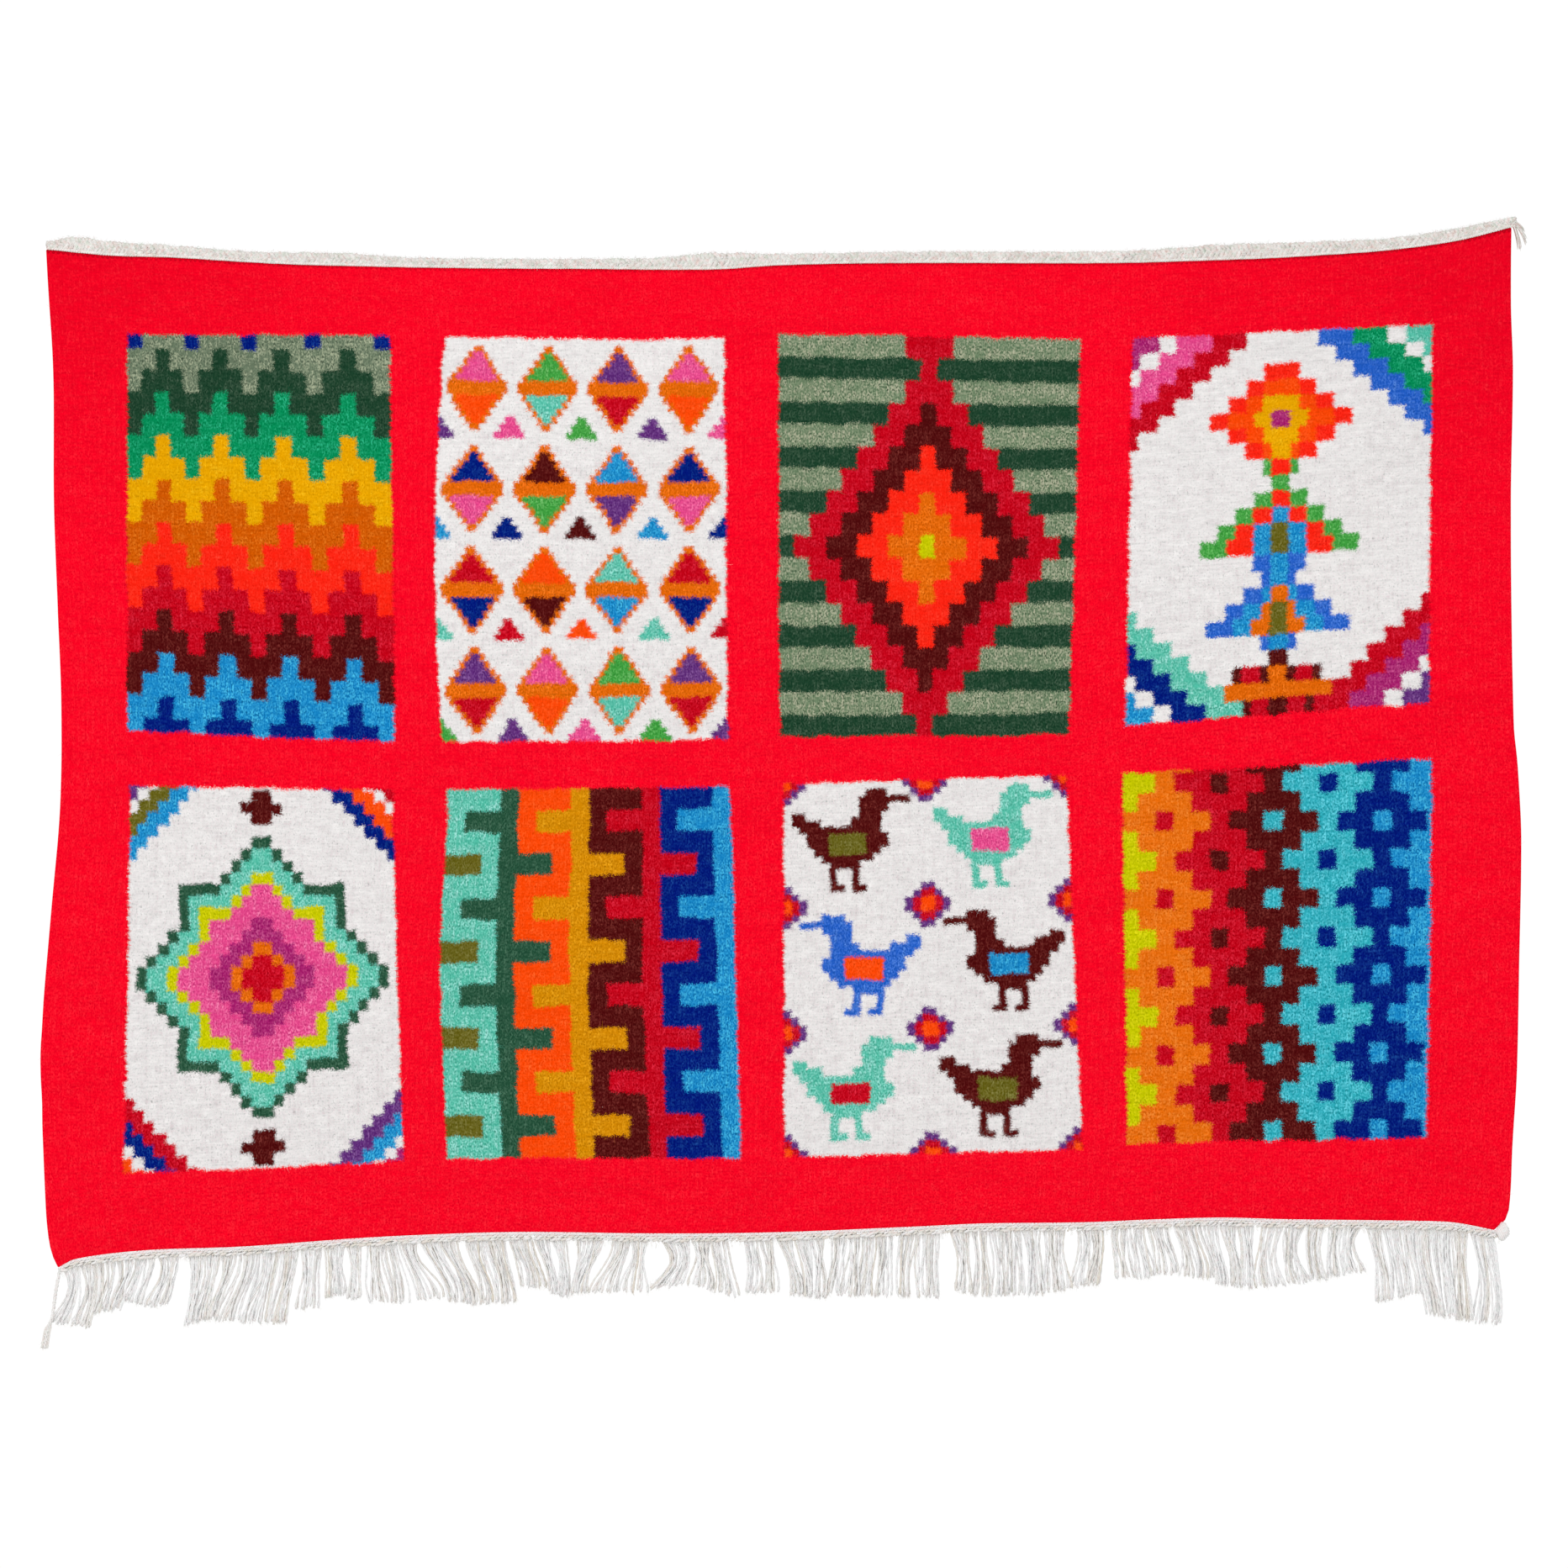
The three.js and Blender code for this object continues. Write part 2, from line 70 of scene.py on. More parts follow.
# Selvages, each row (z, x)
LEFT_SELVAGE: Rows = (
    (3, -599), (-96, -593), (-206, -592), (-288, -589), (-370, -586), (-453, -587),
    (-535, -594), (-645, -602.5), (-699, -601.5), (-780, -598), (-800, -596.3),
    (-812, -594.3), (-821, -591.5), (-828, -588),
)
RIGHT_SELVAGE: Rows = (
    (21, 598), (-41, 597), (-96, 599), (-206, 597), (-370, 599), (-425, 603), (-480, 605.5),
    (-590, 603.5), (-672, 601.5), (-727, 598), (-775, 595.8), (-789, 592.3),
    (-797.5, 583),
)

# Upright sides of the panels from left to right, each row (z, x)
PANEL_SIDES: tuple[Rows, ...] = (
    ((-66.5, -531.5), (-390, -532), (-435.5, -529.5), (-751, -534)),
    ((-67, -318), (-399, -313.5), (-438, -316), (-741, -306)),
    ((-68.5, -273.5), (-225.5, -281), (-399, -275.5), (-438, -270), (-575.5, -276.5), (-739, -271)),
    ((-70.5, -45.5), (-397, -42), (-435.5, -40.5), (-738.5, -31)),
    ((-66.5, -0.5), (-395.5, 0.5), (-434, 3.5), (-738, 4)),
    ((-70.5, 246), (-393.5, 236), (-426.5, 234), (-731, 247)),
    ((-69.5, 288.5), (-386.5, 282), (-425, 280.5), (-727, 283)),
    ((-58.5, 533), (-367, 530), (-413, 533), (-722.5, 527.5)),
)

# Level ends of the panels from the top down, each row (x, z)
PANEL_ENDS: tuple[Rows, ...] = (
    ((-531.5, -66.5), (-318, -67), (-273.5, -68.5), (-45.5, -70.5), (-0.5, -66.5), (246, -70.5),
     (288.5, -69.5), (533, -58.5)),
    ((-532, -390), (-313.5, -399), (-275.5, -399), (-42, -397), (0.5, -395.5), (236, -393.5),
     (282, -386.5), (530, -367)),
    ((-529.5, -435.5), (-316, -438), (-270, -438), (-40.5, -435.5), (3.5, -434), (234, -426.5),
     (280.5, -425), (533, -413)),
    ((-534, -751), (-306, -741), (-271, -739), (-31, -738.5), (4, -738), (247, -731),
     (283, -727), (527.5, -722.5)),
)

# Weaver's chart: where each upright side and level end falls, in cells of the chart, and the
# number of warps across the cloth
CHART_COLUMNS = (0, 32, 134, 155, 267, 287, 401, 421, 523, 555)
CHART_ROWS = (0, 30, 174, 192, 328, 358)
WARPS = 300

# Soft folds, each row (from x, from z, to x, to z, width, lift)
FOLDS = (
    (-585, -40, -455, -165, 34, 4.5), (-500, 0, -350, -20, 30, 3.5),
    (590, -35, 440, -190, 38, 6), (330, -5, 520, 5, 30, 3.5),
    (-150, -10, 60, -10, 40, 2.5), (-330, -330, -290, -560, 120, 3),
    (-90, -260, -60, -640, 60, -2.5), (260, -300, 300, -560, 110, 3.5),
    (606, -392, 550, -388, 14, -4), (-604, -631, -565, -628, 13, -3),
    (-604, -693, -560, -690, 13, -3), (-440, -830, -410, -620, 55, 4),
    (-60, -800, -90, -660, 50, 3), (330, -790, 300, -620, 60, 4),
    (575, -790, 540, -690, 40, -3.5),
)


# Bunches of the fringe, each value at its left and its right strand: x of the roots, x of the
# tips, z of the tips and bow of the middle to +X
BUNCHES = (
    (-584, -558, -592, -563, -873, -877, 6, 5), (-557, -527, -560, -539, -866, -862, 4, 3),
    (-526, -509, -536, -519, -856, -858, 2, 3), (-507, -490, -517, -499, -861, -858, 3, 4),
    (-482, -442, -484, -460, -875, -868, 2, 2), (-441, -407, -457, -419, -871, -874, 2, 2),
    (-406, -392, -416, -401, -874, -874, 1, 1), (-390, -373, -393, -377, -862, -861, 0, 1),
    (-371, -354, -370, -355, -852, -850, 0, 0), (-353, -340, -352, -341, -853, -854, 1, 1),
    (-335, -312, -332, -303, -856, -858, -3, 2), (-310, -295, -294, -275, -854, -853, -2, 0),
    (-293, -262, -270, -245, -856, -858, 1, 2), (-256, -224, -243, -216, -858, -857, 1, 1),
    (-221, -202, -211, -191, -844, -845, 1, 1), (-200, -174, -188, -173, -848, -852, 2, 3),
    (-165, -143, -170, -157, -850, -848, 1, -1), (-136, -107, -153, -109, -848, -848, 2, 0),
    (-98, -74, -106, -78, -846, -841, 12, 4), (-72, -42, -70, -36, -842, -852, 2, 1),
    (-29, -5, -28, -3, -849, -848, 2, 2), (-3, 37, 11, 36, -850, -853, 2, 1),
    (42, 92, 39, 88, -850, -852, 1, 1), (98, 130, 95, 130, -851, -853, -2, 1),
    (139, 155, 143, 158, -846, -850, 3, 1), (156, 211, 159, 212, -851, -850, 1, 1),
    (213, 234, 214, 236, -848, -846, 1, -2), (243, 264, 238, 260, -845, -841, 3, 3),
    (271, 298, 274, 305, -837, -836, -1, 0), (299, 317, 307, 325, -834, -833, 0, 1),
    (321, 343, 328, 354, -835, -838, 1, 1), (345, 387, 357, 387, -842, -845, 1, 0),
    (394, 411, 391, 413, -844, -843, -5, -4), (413, 429, 415, 432, -842, -840, -5, -4),
    (431, 445, 433, 447, -838, -838, -4, -4), (448, 460, 448, 459, -836, -834, -2, -2),
    (461, 476, 461, 476, -833, -831, -4, -5), (478, 517, 487, 524, -857, -849, 2, 0),
    (518, 562, 531, 564, -866, -872, -3, 0), (563, 582, 567, 587, -873, -875, 2, 6),
)

# The long single warp end at the left corner, each row (x, z), and the knot at the right one
LONE_END: Rows = ((-586.5, -829), (-590, -848), (-592.5, -868), (-597, -880), (-599, -893.5))
CORNER_KNOT = (590.0, -798.6, 6.4)

# Loose ends at the heading's right corner, each row (root x, root z, tip x, tip z)
CORNER_TUFT = ((599, 28, 609.5, 16), (599, 27, 611, 9), (600, 25, 606.5, 2))


def linear(colour: Colour) -> tuple[float, float, float, float]:
    """Linear value of a colour that is named by its screen values.

    Args:
        colour: red, green and blue from 0 to 255.

    Returns:
        Linear red, green, blue and an alpha of 1.
    """
    shares = [part / 255 for part in colour]
    return (*[s / 12.92 if s <= 0.04045 else ((s + 0.055) / 1.055) ** 2.4 for s in shares], 1.0)


def smooth_at(rows: Rows, at: np.ndarray) -> np.ndarray:
    """Smooth curve through a table, level past its ends.

    Args:
        rows: (place, value) rows in rising or falling order of place.
        at: places to read.

    Returns:
        The value at each place.
    """
    keys, values = np.array(rows, dtype=float).T
    if keys[0] > keys[-1]:
        keys, values = keys[::-1], values[::-1]
    last = len(keys) - 1
    before = np.maximum(np.arange(last + 1) - 1, 0)
    after = np.minimum(np.arange(last + 1) + 1, last)
    slopes = (values[after] - values[before]) / (keys[after] - keys[before])
    index = np.clip(np.searchsorted(keys, at, side="right") - 1, 0, last - 1)
    span = keys[index + 1] - keys[index]
    t = np.clip((at - keys[index]) / span, 0, 1)
    rise = t * t * (3 - 2 * t)
    return (
        values[index] * (1 - rise) + values[index + 1] * rise
        + slopes[index] * span * t * (1 - t) ** 2 - slopes[index + 1] * span * t * t * (1 - t)
    )


def smooth_step(at: np.ndarray, low: float, high: float) -> np.ndarray:
    """Soft rise from 0 at low to 1 at high.

    Args:
        at: places to read.
        low: where the rise starts.
        high: where it is complete.

    Returns:
        The share risen at each place.
    """
    t = np.clip((at - low) / (high - low), 0, 1)
    return t * t * (3 - 2 * t)


@dataclass(frozen=True)
class Hang:
    """How the cloth hangs: its outline, and how far each part of it stands off the wall."""

    top_stand_off: float = 3.2
    belly_stand_off: float = 5.5
    belly_span: tuple[float, float] = (10, 220)
    foot_flare: float = 5.0
    flare_span: tuple[float, float] = (500, 830)
    cockle: float = 0.22

    def stand_off(self, x: np.ndarray, z: np.ndarray) -> np.ndarray:
        """Distance of the middle of the cloth in front of the wall.

        Args:
            x: places across, in millimetres.
            z: heights, in millimetres.

        Returns:
            Millimetres in front of the wall.
        """
        away = self.top_stand_off + self.belly_stand_off * smooth_step(-z, *self.belly_span)
        away = away + self.foot_flare * smooth_step(-z, *self.flare_span)
        for from_x, from_z, to_x, to_z, width, lift in FOLDS:
            run_x, run_z = to_x - from_x, to_z - from_z
            share = ((x - from_x) * run_x + (z - from_z) * run_z) / (run_x**2 + run_z**2)
            share = np.clip(share, 0, 1)
            gap = (x - from_x - share * run_x) ** 2 + (z - from_z - share * run_z) ** 2
            away = away + lift * np.exp(-gap / width**2)
        return away

    def cockling(self, x: np.ndarray, z: np.ndarray) -> np.ndarray:
        """Small unevenness of hand-beaten wool, as crossing waves of 50 to 150 mm.

        Args:
            x: places across, in millimetres.
            z: heights, in millimetres.

        Returns:
            Millimetres added to the stand-off.
        """
        waves = np.sin(x / 23 + 1.9 * np.sin(z / 61)) * np.sin(z / 17 + 1.3 * np.sin(x / 47))
        waves = waves + 0.6 * np.sin(x / 11 + z / 29 + 2) * np.sin(z / 8.5 - x / 90)
        return self.cockle * waves

    def field_point(self, u: np.ndarray, v: np.ndarray) -> tuple[np.ndarray, np.ndarray]:
        """Point of the hung field, blended from its four edges.

        Args:
            u: share across, from the left selvage to the right one.
            v: share down, from the heading to the foot.

        Returns:
            x and z in millimetres.
        """
        def between(a: float, b: float, t: np.ndarray) -> np.ndarray:
            """Value between two others."""
            return a + (b - a) * t

        top_x = between(TOP_EDGE[0][0], TOP_EDGE[-1][0], u)
        foot_x = between(BOTTOM_EDGE[0][0], BOTTOM_EDGE[-1][0], u)
        left_x = smooth_at(LEFT_SELVAGE, between(LEFT_SELVAGE[0][0], LEFT_SELVAGE[-1][0], v))
        right_x = smooth_at(RIGHT_SELVAGE, between(RIGHT_SELVAGE[0][0], RIGHT_SELVAGE[-1][0], v))
        straight_left = between(TOP_EDGE[0][0], BOTTOM_EDGE[0][0], v)
        straight_right = between(TOP_EDGE[-1][0], BOTTOM_EDGE[-1][0], v)
        x = top_x + (foot_x - top_x) * v
        x = x + (left_x - straight_left) * (1 - u) + (right_x - straight_right) * u
        top_z, foot_z = smooth_at(TOP_EDGE, top_x), smooth_at(BOTTOM_EDGE, foot_x)
        return x, top_z + (foot_z - top_z) * v

    def chart_place(
        self, x: np.ndarray, z: np.ndarray,
    ) -> tuple[np.ndarray, np.ndarray, np.ndarray]:
        """Where a point of the hung cloth falls in the weaver's chart.

        Args:
            x: places across, in millimetres.
            z: heights, in millimetres.

        Returns:
            Column and row of the chart in cells, and the number of the warp.
        """
        uprights = [smooth_at(LEFT_SELVAGE, z)]
        uprights += [smooth_at(side, z) for side in PANEL_SIDES] + [smooth_at(RIGHT_SELVAGE, z)]
        levels = [smooth_at(TOP_EDGE, x)]
        levels += [smooth_at(end, x) for end in PANEL_ENDS] + [smooth_at(BOTTOM_EDGE, x)]
        column = self.cells_passed(x, uprights, CHART_COLUMNS)
        row = self.cells_passed(z, levels, CHART_ROWS)
        warp = WARPS * (x - uprights[0]) / (uprights[-1] - uprights[0])
        return column, row, warp

    @staticmethod
    def cells_passed(at: np.ndarray, lines: list[np.ndarray], cells: Sequence[int]) -> np.ndarray:
        """Cells of the chart on the way to a place.

        Args:
            at: places across or heights, in millimetres.
            lines: where the lines of the chart lie on the cloth, beside each place.
            cells: the cell at each line.

        Returns:
            The cells passed.
        """
        passed = np.zeros_like(at)
        for i in range(len(lines) - 1):
            share = np.clip((at - lines[i]) / (lines[i + 1] - lines[i]), 0, 1)
            passed += share * (cells[i + 1] - cells[i])
        return passed


HANG = Hang()


def stand_off_at(x: float, z: float) -> float:
    """Distance of the cloth in front of the wall at one point, in millimetres."""
    return float(HANG.stand_off(np.array(x), np.array(z)))


class Number:
    """A number that changes over the surface, with arithmetic that lays its nodes."""

    def __init__(self, wiring: "Wiring", socket: bpy.types.NodeSocket) -> None:
        """Keeps the socket that carries the number."""
        self.wiring, self.socket = wiring, socket

    def __add__(self, other: "Amount") -> "Number":
        """Sum of the two."""
        return self.wiring.math("ADD", self, other)

    def __sub__(self, other: "Amount") -> "Number":
        """Difference of the two."""
        return self.wiring.math("SUBTRACT", self, other)

    def __rsub__(self, other: float) -> "Number":
        """A plain number less this one."""
        return self.wiring.math("SUBTRACT", other, self)

    def __mul__(self, other: "Amount") -> "Number":
        """Product of the two."""
        return self.wiring.math("MULTIPLY", self, other)

    def __truediv__(self, other: float) -> "Number":
        """This one divided by a plain number."""
        return self.wiring.math("DIVIDE", self, other)

    __radd__, __rmul__ = __add__, __mul__

    def floor(self) -> "Number":
        """Whole number below."""
        return self.wiring.math("FLOOR", self)

    def size(self) -> "Number":
        """Distance from zero."""
        return self.wiring.math("ABSOLUTE", self)

    def turned(self, span: float) -> "Number":
        """Up to span and back again, over and over."""
        return self.wiring.math("PINGPONG", self, span)

    def within(self, span: float) -> "Number":
        """What is left over after whole spans."""
        return self.wiring.math("WRAP", self, span, 0)

    def above(self, limit: "Amount") -> "Number":
        """1 where the number is over the limit."""
        return self.wiring.math("GREATER_THAN", self, limit)

    def below(self, limit: "Amount") -> "Number":
        """1 where the number is under the limit."""
        return self.wiring.math("LESS_THAN", self, limit)

    def near(self, place: float, reach: float) -> "Number":
        """1 within reach of the place."""
        return self.wiring.math("COMPARE", self, place, reach)

    def smaller(self, other: "Amount") -> "Number":
        """The smaller of the two."""
        return self.wiring.math("MINIMUM", self, other)

    def larger(self, other: "Amount") -> "Number":
        """The larger of the two."""
        return self.wiring.math("MAXIMUM", self, other)


Amount = Union[Number, float]


class Wiring:
    """A node tree, with short calls for the nodes that these finishes use."""

    def __init__(self, tree: bpy.types.NodeTree) -> None:
        """Keeps the tree."""
        self.tree = tree

    def node(self, kind: str, **settings: object) -> bpy.types.Node:
        """Adds a node.

        Args:
            kind: node type without its ShaderNode prefix.
            settings: properties to set on it.

        Returns:
            The node.
        """
        made = self.tree.nodes.new("ShaderNode" + kind)
        for name, value in settings.items():
            setattr(made, name, value)
        return made

    def feed(self, socket: bpy.types.NodeSocket, value: object) -> None:
        """Links a socket or a number to an input, or sets the input's own value.

        Args:
            socket: the input.
            value: what it is given.
        """
        if isinstance(value, Number):
            value = value.socket
        if isinstance(value, bpy.types.NodeSocket):
            self.tree.links.new(value, socket)
        else:
            socket.default_value = value

    def math(self, operation: str, *values: Amount) -> Number:
        """Adds a sum.

        Args:
            operation: its name.
            values: what goes in.

        Returns:
            What comes out.
        """
        made = self.node("Math", operation=operation)
        for socket, value in zip(made.inputs, values):
            self.feed(socket, value)
        return Number(self, made.outputs[0])

    def vector(self, x: Amount, y: Amount, z: Amount = 0.0) -> bpy.types.NodeSocket:
        """Joins three numbers to a vector.

        Args:
            x: first number.
            y: second number.
            z: third number.

        Returns:
            The vector.
        """
        made = self.node("CombineXYZ")
        for socket, value in zip(made.inputs, (x, y, z)):
            self.feed(socket, value)
        return made.outputs[0]

    def parts(self, vector: bpy.types.NodeSocket) -> tuple[Number, Number, Number]:
        """Takes a vector or a colour apart.

        Args:
            vector: what is taken apart.

        Returns:
            Its three numbers.
        """
        made = self.node("SeparateXYZ")
        self.feed(made.inputs[0], vector)
        return tuple(Number(self, socket) for socket in made.outputs[:3])

    def cloud(self, place: bpy.types.NodeSocket, scale: float, detail: float) -> bpy.types.Node:
        """Cloudy noise.

        Args:
            place: where it is read.
            scale: waves to a unit of the place.
            detail: layers of finer noise.

        Returns:
            The noise node.
        """
        made = self.node("TexNoise")
        self.feed(made.inputs["Vector"], place)
        made.inputs["Scale"].default_value = scale
        made.inputs["Detail"].default_value = detail
        return made

    def noise(self, place: bpy.types.NodeSocket, scale: float, detail: float = 1.0) -> Number:
        """Cloudy noise as one number from about 0.2 to 0.8."""
        return Number(self, self.cloud(place, scale, detail).outputs["Fac"])

    def wander(self, place: bpy.types.NodeSocket, scale: float, detail: float) -> list[Number]:
        """Cloudy noise as two numbers from about -0.3 to 0.3, for a shift across and down."""
        across, down, _ = self.parts(self.cloud(place, scale, detail).outputs["Color"])
        return [across - 0.5, down - 0.5]

    def lot(self, number: Number) -> Number:
        """Draws a lot for each whole number.

        Args:
            number: the whole number.

        Returns:
            A random number from 0 to 1.
        """
        made = self.node("TexWhiteNoise", noise_dimensions="1D")
        self.feed(made.inputs["W"], number)
        return Number(self, made.outputs["Value"])

    def spread(self, value: Number, low: float, high: float) -> Number:
        """Stretches a span of a number to 0 to 1, cut off past it.

        Args:
            value: the number.
            low: value that gives 0.
            high: value that gives 1.

        Returns:
            The stretched number.
        """
        made = self.node("MapRange")
        self.feed(made.inputs["Value"], value)
        made.inputs["From Min"].default_value = low
        made.inputs["From Max"].default_value = high
        return Number(self, made.outputs["Result"])

    def choose(self, share: Amount, first: Amount, second: Amount) -> Number:
        """Chooses between two numbers.

        Args:
            share: 0 for the first, 1 for the second.
            first: first number.
            second: second number.

        Returns:
            The number that is chosen.
        """
        made = self.node("Mix", data_type="FLOAT")
        for index, value in ((0, share), (2, first), (3, second)):
            self.feed(made.inputs[index], value)
        return Number(self, made.outputs[0])

    def blend(
        self, share: Amount, first: object, second: object, mode: str = "MIX",
    ) -> bpy.types.NodeSocket:
        """Blends two colours.

        Args:
            share: of the second, from 0 to 1.
            first: colour under.
            second: colour over.
            mode: way of blending.

        Returns:
            The blend.
        """
        made = self.node("Mix", data_type="RGBA", blend_type=mode)
        for index, value in ((0, share), (6, first), (7, second)):
            self.feed(made.inputs[index], value)
        return made.outputs[2]

    def shaded(self, colour: bpy.types.NodeSocket, shade: Number) -> bpy.types.NodeSocket:
        """Colour darkened or lightened by a number."""
        return self.blend(1.0, colour, self.vector(shade, shade, shade), "MULTIPLY")

    def table(self, place: Amount, rows: Sequence[Sequence[float]]) -> bpy.types.Node:
        """Looks a whole number up in a table of four numbers from 0 to 1 a row.

        Args:
            place: the row, counted from 0.
            rows: the table, up to 32 rows.

        Returns:
            The ramp node, whose colour and alpha hold the row.
        """
        made = self.node("ValToRGB")
        ramp = made.color_ramp
        ramp.interpolation = "CONSTANT"
        while len(ramp.elements) < len(rows):
            ramp.elements.new(1.0)
        for index, row in enumerate(rows):
            ramp.elements[index].position = index / len(rows)
            ramp.elements[index].color = row
        self.feed(made.inputs[0], (place + 0.5) / len(rows))
        return made

    def numbers(self, place: Amount, rows: Sequence[Sequence[float]], scale: float) -> list[Number]:
        """Looks a whole number up in a table of four numbers.

        Args:
            place: the row, counted from 0.
            rows: the table, up to 32 rows.
            scale: largest number in the table.

        Returns:
            The four numbers of the row.
        """
        made = self.table(place, [[value / scale for value in row] for row in rows])
        parts = self.parts(made.outputs["Color"])
        return [part * scale for part in (*parts, Number(self, made.outputs["Alpha"]))]


class Yarn(Enum):
    """Dyed wools of the field, numbered as in the dye table."""

    RED = 0
    WHITE = 1
    CRIMSON = 2
    BROWN = 3
    ORANGE = 4
    VERMILION = 5
    OCHRE = 6
    MUSTARD = 7
    YELLOW = 8
    TANGERINE = 9
    AMBER = 10
    GREEN = 11
    BOTTLE = 12
    FOREST = 13
    KHAKI = 14
    SAGE = 15
    NAVY = 16
    SKY = 17
    TURQUOISE = 18
    MINT = 19
    OLIVE = 20
    LIME = 21
    PURPLE = 22
    PINK = 23
    MAGENTA = 24
    ROYAL = 25
    LEAF = 26


@dataclass(frozen=True)
class Dye:
    """One wool: its colour, the paler fibres carded into it, and how much they show."""

    colour: Colour
    fleck: Colour
    melange: float


DYES: dict[Yarn, Dye] = {
    Yarn.RED: Dye((248, 3, 35), (252, 48, 61), 0.22),
    Yarn.WHITE: Dye((238, 236, 235), (212, 202, 204), 0.4),
    Yarn.CRIMSON: Dye((193, 1, 21), (219, 41, 64), 0.4),
    Yarn.BROWN: Dye((77, 10, 12), (124, 54, 48), 0.3),
    Yarn.ORANGE: Dye((250, 69, 4), (250, 106, 47), 0.25),
    Yarn.VERMILION: Dye((251, 33, 16), (251, 74, 54), 0.25),
    Yarn.OCHRE: Dye((223, 99, 5), (246, 129, 37), 0.4),
    Yarn.MUSTARD: Dye((209, 134, 4), (234, 166, 32), 0.35),
    Yarn.YELLOW: Dye((231, 162, 1), (237, 186, 29), 0.3),
    Yarn.TANGERINE: Dye((207, 86, 1), (223, 120, 32), 0.4),
    Yarn.AMBER: Dye((232, 107, 9), (238, 139, 55), 0.35),
    Yarn.GREEN: Dye((2, 138, 83), (49, 182, 137), 0.45),
    Yarn.BOTTLE: Dye((26, 63, 42), (69, 93, 74), 0.45),
    Yarn.FOREST: Dye((35, 79, 57), (75, 113, 91), 0.4),
    Yarn.KHAKI: Dye((104, 121, 98), (161, 170, 142), 0.75),
    Yarn.SAGE: Dye((106, 130, 99), (168, 171, 145), 0.75),
    Yarn.NAVY: Dye((2, 21, 119), (29, 76, 151), 0.3),
    Yarn.SKY: Dye((20, 131, 198), (72, 185, 225), 0.5),
    Yarn.TURQUOISE: Dye((41, 170, 185), (101, 208, 224), 0.5),
    Yarn.MINT: Dye((79, 189, 164), (154, 219, 209), 0.5),
    Yarn.OLIVE: Dye((100, 94, 22), (130, 127, 68), 0.4),
    Yarn.LIME: Dye((195, 198, 1), (222, 213, 29), 0.35),
    Yarn.PURPLE: Dye((92, 40, 118), (140, 96, 158), 0.35),
    Yarn.PINK: Dye((228, 66, 136), (242, 132, 176), 0.4),
    Yarn.MAGENTA: Dye((164, 26, 106), (200, 88, 144), 0.4),
    Yarn.ROYAL: Dye((32, 92, 198), (96, 144, 222), 0.35),
    Yarn.LEAF: Dye((58, 156, 60), (118, 190, 110), 0.4),
}
DYE_SLOTS = 32


@dataclass(frozen=True)
class Panel:
    """One woven panel, by the chart cells that it fills."""

    column: int
    columns: int
    row: int
    rows: int

    def weave(self, wiring: Wiring, across: Number, down: Number, under: Amount) -> Number:
        """Lays this panel over the chart.

        Args:
            wiring: tree to add to.
            across: column of the chart, in cells.
            down: row of the chart, in cells.
            under: dye place of what is woven so far.

        Returns:
            Dye place with this panel over it.
        """
        inside = across.near(self.column + self.columns / 2, self.columns / 2)
        inside = inside * down.near(self.row + self.rows / 2, self.rows / 2)
        own = self.motif(wiring, across - self.column, down - self.row)
        return wiring.choose(inside, under, own)

    def motif(self, wiring: Wiring, across: Number, down: Number) -> Number:
        """Dye place at each cell of the panel, which each kind of panel gives."""
        raise NotImplementedError

    @staticmethod
    def dye(yarn: Yarn) -> float:
        """Place of one wool in the dye table."""
        return (yarn.value + 0.5) / DYE_SLOTS

    def pick(self, wiring: Wiring, index: Number, *yarns: Yarn) -> Number:
        """Dye place of the wool that a whole number names in a list.

        Args:
            wiring: tree to add to.
            index: place in the list, from 0.
            yarns: the list.

        Returns:
            The dye place.
        """
        ramp = wiring.table(index, [(self.dye(yarn), 0.0, 0.0, 1.0) for yarn in yarns])
        return wiring.parts(ramp.outputs["Color"])[0]

    def corner_bands(
        self, wiring: Wiring, across: Number, down: Number, reach: Number,
        *corners: tuple[Yarn, Yarn, Yarn],
    ) -> Number:
        """Stepped bands of three wools round each corner of a white panel.

        Args:
            wiring: tree to add to.
            across: column of the panel, in cells.
            down: row of the panel, in cells.
            reach: steps away from the nearest corner.
            corners: wools of the upper left, upper right, lower left and lower right corner.

        Returns:
            The dye place.
        """
        corner = across.above(self.columns / 2) + down.above(self.rows / 2) * 2
        yarns = []
        for first, second, third in corners:
            yarns += [first, first, Yarn.WHITE, second, second, third, third, Yarn.WHITE]
        return self.pick(wiring, corner * 8 + reach.smaller(7), *yarns)


class SteppedBands(Panel):
    """Level bands of ten wools whose upper edges climb in small steps to four peaks."""

    def motif(self, wiring: Wiring, across: Number, down: Number) -> Number:
        """Dye place at each cell of the panel.

        Args:
            wiring: tree to add to.
            across: column of the panel, in cells.
            down: row of the panel, in cells.

        Returns:
            The dye place.
        """
        crowding = wiring.math("SINE", across * (math.pi / self.columns)) * (1 - down / self.rows)
        climb = ((across + crowding * 4) / 6).floor().turned(2)
        band = ((down / 7.87 - 0.65 + climb) / 2).floor()
        return self.pick(
            wiring, band + 1, Yarn.NAVY, Yarn.KHAKI, Yarn.BOTTLE, Yarn.GREEN, Yarn.YELLOW,
            Yarn.TANGERINE, Yarn.VERMILION, Yarn.CRIMSON, Yarn.BROWN, Yarn.SKY, Yarn.NAVY,
        )


